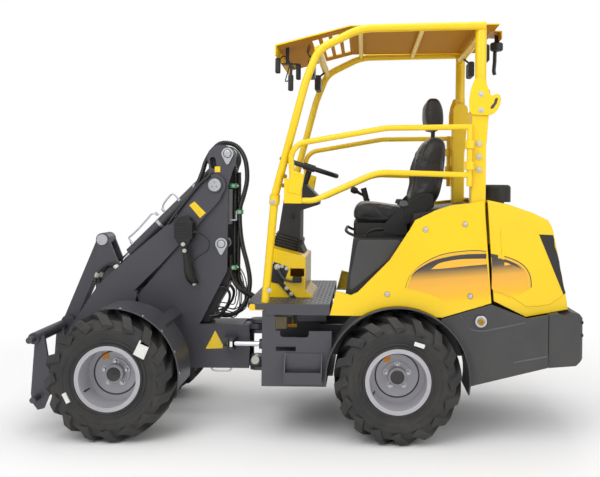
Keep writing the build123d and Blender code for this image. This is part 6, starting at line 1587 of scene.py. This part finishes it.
@dataclass
class CanopyDetails:
    """Plate, beacon, cable and lamp at the roof's rear end, marker lamps and cables at its front."""

    def build(self) -> None:
        """Make the parts."""
        plate = Shell()
        plate.slab(
            [(-500, 2192), (-566, 2190), (-566, 2146), (-560, 2146), (-558, 2183), (-500, 2185)], 60.0,
            240.0)
        plate.piece("rear_bracket", DEEP_YELLOW, "canopy", bevel=1.5)
        beacon = Shell()
        beacon.lathe(
            at(-552, 150, 2096), (0.0, 0.0, 1.0),
            [(0, 30), (6, 36), (38, 36), (44, 30), (50, 12), (88, 12)], 32)
        beacon.piece("rear_beacon", PLASTIC, "canopy")
        strap = Shell()
        strap.line(
            [(-552, 120, 2140), (-549, 118, 2090), (-548, 118, 2040), (-544, 120, 1990), (-548, 122, 1966)],
            11.0, 8)
        strap.piece("rear_cable", HOSE, "canopy")
        lamp = Shell()
        lamp.lathe(
            at(-452, 250, 2058), (-1.0, 0.0, 0.0), [(-4, 16), (14, 20), (22, 20), (24, 17), (24, 0.2)], 24)
        lamp.piece("rear_lamp", SOFT_RUBBER, "canopy")
        paddles, stays = Shell(), Shell()
        for low, high in (
                ((644, 286, 1932), (672, 312, 2016)), ((536, 262, 1902), (562, 288, 1990)),
                ((572, 300, 1836), (600, 326, 1924))):
            paddles.box(low, high)
        paddles.piece("front_marker_lamps", PLASTIC, "canopy", bevel=8.0)
        stays.box((548, 250, 1984), (640, 292, 1990))
        stays.box((600, 262, 1990), (618, 286, 2078))
        stays.box((580, 288, 1918), (592, 312, 1990))
        stays.piece("marker_brackets", PLASTIC, "canopy", bevel=1.5)
        cables = Shell()
        cables.line(
            [(650, 290, 2010), (628, 280, 2030), (604, 276, 2010), (590, 280, 1980), (566, 276, 1960)], 3.0,
            6)
        cables.line([(590, 306, 1900), (616, 300, 1890), (606, 290, 1940), (592, 292, 1990)], 3.0, 6)
        for shift in (0.0, 60.0):
            cable = ((488, 300, 2092), (500, 296, 2050), (470, 300, 2010), (478, 310, 1968))
            cables.line([(x, y - shift, z) for x, y, z in cable], 3.0, 6)
        cables.piece("front_lamp_cables", HOSE, "canopy")


@dataclass
class LampDetails:
    """Ribs and lens on the work lamp, its bracket with bolts, and the curved cable."""

    ribs: int = 7
    first_rib: float = 1028.0
    rib_pitch: float = 14.0
    rib_half: float = 2.2

    def build(self) -> None:
        """Make the ribs, the lens, the cable, the bracket and its bolts."""
        ribs = Shell()
        for index in range(self.ribs):
            z = self.first_rib + index * self.rib_pitch
            ribs.box((1136.0, 122.0, z - self.rib_half), (1244.0, 195.0, z + self.rib_half))
        ribs.piece("work_lamp_ribs", PLASTIC, "front_frame", bevel=1.2)
        lens = Shell()
        lens.box((1240.0, 132.0, 1026.0), (1243.0, 184.0, 1114.0))
        lens.piece("work_lamp_lens", LENS, "front_frame", bevel=1.0)
        cable = Shell()
        cable.line(
            [(1150, 176, 1058), (1112, 170, 1058), (1070, 160, 1030), (1050, 152, 994), (1066, 150, 951),
             (1112, 150, 921), (1150, 140, 880), (1148, 112, 840)], 3.6, 8)
        cable.piece("work_lamp_cable", HOSE, "front_frame")
        stem = Shell()
        stem.line(
            [(1190, 152, 1004), (1184, 152, 940), (1176, 151, 880), (1170, 150, 840), (1156, 142, 796),
             (1138, 122, 770)], np.interp(np.linspace(0, 1, 51), [0, 0.35, 0.75, 1], [16, 17, 25, 20]), 16)
        stem.slab(
            [(1152, 1128), (1228, 1128), (1222, 1140), (1200, 1147), (1176, 1147), (1158, 1140)], 126.0,
            190.0)
        stem.slab(
            [(1150, 1012), (1230, 1012), (1216, 990), (1206, 978), (1176, 978), (1164, 990)], 128.0, 188.0)
        stem.piece("work_lamp_bracket", SOFT_RUBBER, "front_frame")
        bolt = Shell()
        bolt.bolt((1190, 188.0, 992), (0.0, 1.0, 0.0), 14.0, 8.0)
        bolt.bolt((1186, 172.0, 955), (0.0, 1.0, 0.0), 14.0, 8.0)
        bolt.bolt((1138, 140.0, 768), (0.0, 1.0, 0.0), 15.0, 8.0)
        bolt.piece("work_lamp_bolt", PALE_STEEL, "front_frame")


@dataclass
class SeatTrim:
    """Recliner covers, belt anchors, slider bar, arches and the lever on the right armrest."""

    def build(self) -> None:
        """Make the parts."""
        covers = Shell()
        for side in SIDES:
            covers.side_slab(
                [(-46, 1112), (-36, 1226), (-60, 1244), (-139, 1293), (-172, 1294), (-196, 1282),
                 (-201, 1218), (-150, 1186), (-103, 1150)], side, 238.0, 251.0)
        covers.piece("recliner_covers", SOFT_RUBBER, "rear_frame", bevel=5.0)
        belt = Shell()
        for side in SIDES:
            belt.side_slab(
                [(-62, 1226), (-48, 1250), (-16, 1250), (-6, 1226), (-30, 1216)], side, 240.0, 256.0)
        belt.piece("belt_anchors", COVER_LIGHT, "rear_frame", Slot.STEEL, bevel=3.0)
        slider = Shell()
        slider.line(
            [(170, 236, 1052), (214, 240, 1050), (262, 236, 1066), (280, 210, 1078), (284, 120, 1080),
             (284, 0, 1080), (284, -120, 1080), (280, -210, 1078), (262, -236, 1066), (214, -240, 1050),
             (170, -236, 1052)], 8.0, 10, across=(0.1, 0.2, 1.0))
        slider.piece("seat_slider", SOFT_RUBBER, "rear_frame")
        arch = Shell()
        rail = (
            (172, 222, 1038), (160, 226, 1070), (126, 228, 1088), (70, 228, 1092), (22, 228, 1088),
            (-4, 226, 1068), (-14, 222, 1038))
        for side in SIDES:
            arch.line([(x, side * y, z) for x, y, z in rail], 12.0, 10)
        arch.piece("seat_arches", SOFT_RUBBER, "rear_frame")
        lever = Shell()
        lever.line(
            [(150, -305, 1240), (196, -305, 1272), (236, -305, 1296)],
            np.interp(np.linspace(0, 1, 21), [0, 0.5, 1], [6, 7, 12]), 12)
        lever.lathe(
            at(244, -305, 1300), (0.8, 0.0, 0.35), [(-22, 8), (-14, 19), (8, 22), (20, 18), (26, 6)], 20)
        lever.piece("armrest_lever", SOFT_RUBBER, "rear_frame")


# Studio
@dataclass
class Studio:
    """Camera at the photograph's angle, pale floor and soft light."""

    focal_px: float = 702.0
    width_px: float = 600.0
    height_px: float = 477.0
    centre_px: tuple[float, float] = (364.0, 186.0)
    roll: float = math.radians(0.63)
    place: Point = (REAR_AXLE + 0.185, 4.100, 1.328)

    def camera(self) -> None:
        """Place the camera; its optical axis meets the image at centre_px, so the rest is shift."""
        data = bpy.data.cameras.new("photo_camera")
        camera = bpy.data.objects.new("photo_camera", data)
        bpy.context.scene.collection.objects.link(camera)
        data.sensor_width = 36.0
        data.lens = self.focal_px / self.width_px * data.sensor_width
        data.shift_x = (self.width_px / 2 - self.centre_px[0]) / self.width_px
        data.shift_y = (self.centre_px[1] - self.height_px / 2) / self.width_px
        right = Vector((-math.cos(self.roll), 0.0, math.sin(self.roll)))
        up = Vector((math.sin(self.roll), 0.0, math.cos(self.roll)))
        back = right.cross(up)
        turn = Matrix((right, up, back)).transposed().to_4x4()
        camera.matrix_world = Matrix.Translation(self.place) @ turn
        data.clip_end = 60.0
        bpy.context.scene.camera = camera

    def light(self) -> None:
        """World light and four large soft lamps."""
        world = bpy.data.worlds.new("studio_world")
        bpy.context.scene.world = world
        world.use_nodes = True
        tree = world.node_tree
        tree.nodes.clear()
        path = add_node(tree, "ShaderNodeLightPath")
        seen = maths(tree, "MAXIMUM", path.outputs["Is Camera Ray"], path.outputs["Is Transmission Ray"])
        soft = add_node(tree, "ShaderNodeBackground", Color=(1.0, 1.0, 1.0, 1.0), Strength=0.62)
        white = add_node(tree, "ShaderNodeBackground", Color=(1.0, 1.0, 1.0, 1.0), Strength=1.0)
        mix = add_node(tree, "ShaderNodeMixShader", i0=seen, i1=soft.outputs[0], i2=white.outputs[0])
        out = add_node(tree, "ShaderNodeOutputWorld")
        tree.links.new(mix.outputs[0], out.inputs["Surface"])
        for name, place, size, power in (
                ("key_lamp", (1.8, 3.6, 4.2), 3.0, 95.0),
                ("fill_lamp", (-3.2, 3.2, 2.6), 3.0, 45.0),
                ("rear_lamp", (-1.0, -4.0, 3.8), 3.4, 60.0),
                ("top_lamp", (0.0, 0.6, 5.0), 4.0, 70.0)):
            data = bpy.data.lights.new(name, "AREA")
            data.size = size
            data.energy = power
            lamp = bpy.data.objects.new(name, data)
            bpy.context.scene.collection.objects.link(lamp)
            aim = Vector((0.0, 0.0, 0.9)) - Vector(place)
            lamp.matrix_world = Matrix.Translation(place) @ aim.to_track_quat("-Z", "Y").to_matrix().to_4x4()

    def floor(self) -> None:
        """Pale floor that fades to white with distance, so that no horizon shows."""
        reach = 30.0
        corners = [(-reach, -reach, 0.0), (reach, -reach, 0.0), (reach, reach, 0.0), (-reach, reach, 0.0)]
        mesh = bpy.data.meshes.new("floor")
        mesh.from_pydata(corners, [], [(0, 1, 2, 3)])
        floor = bpy.data.objects.new("floor", mesh)
        bpy.context.scene.collection.objects.link(floor)
        material = bpy.data.materials.new("pale_floor")
        material.use_nodes = True
        tree = material.node_tree
        tree.nodes.clear()
        coords = add_node(tree, "ShaderNodeTexCoord")
        length = add_node(tree, "ShaderNodeVectorMath", p_operation="LENGTH", i0=coords.outputs["Object"])
        far = ramp_between(tree, length.outputs["Value"], 1.6, 3.4)
        path = add_node(tree, "ShaderNodeLightPath")
        shown = maths(tree, "MULTIPLY", far, path.outputs["Is Camera Ray"])
        pale = add_node(tree, "ShaderNodeBsdfDiffuse", Color=(0.92, 0.92, 0.92, 1.0))
        glow = add_node(tree, "ShaderNodeEmission", Color=(1.0, 1.0, 1.0, 1.0), Strength=1.0)
        mix = add_node(tree, "ShaderNodeMixShader", i0=shown, i1=pale.outputs[0], i2=glow.outputs[0])
        out = add_node(tree, "ShaderNodeOutputMaterial")
        tree.links.new(mix.outputs[0], out.inputs["Surface"])
        mesh.materials.append(material)

    def build(self) -> None:
        """Make the camera, the lights and the floor."""
        self.camera()
        self.light()
        self.floor()
        bpy.context.scene.view_settings.view_transform = "Standard"


PIECES = (
    TowerHoses(), PinCovers(), LampDetails(), Wheels(), SoftSeat(), SeatTrim(), SideGraphics(), HoodDetails(),
    Console(), Underbody(), CanopyDetails())


def main() -> None:
    """Build the classes in order and report each."""
    logging.basicConfig(level=logging.INFO)
    Studio().build()
    dress_nodes()
    for group in PIECES:
        group.build()
        LOG.info("%s is built", type(group).__name__)


if __name__ == "__main__":
    main()
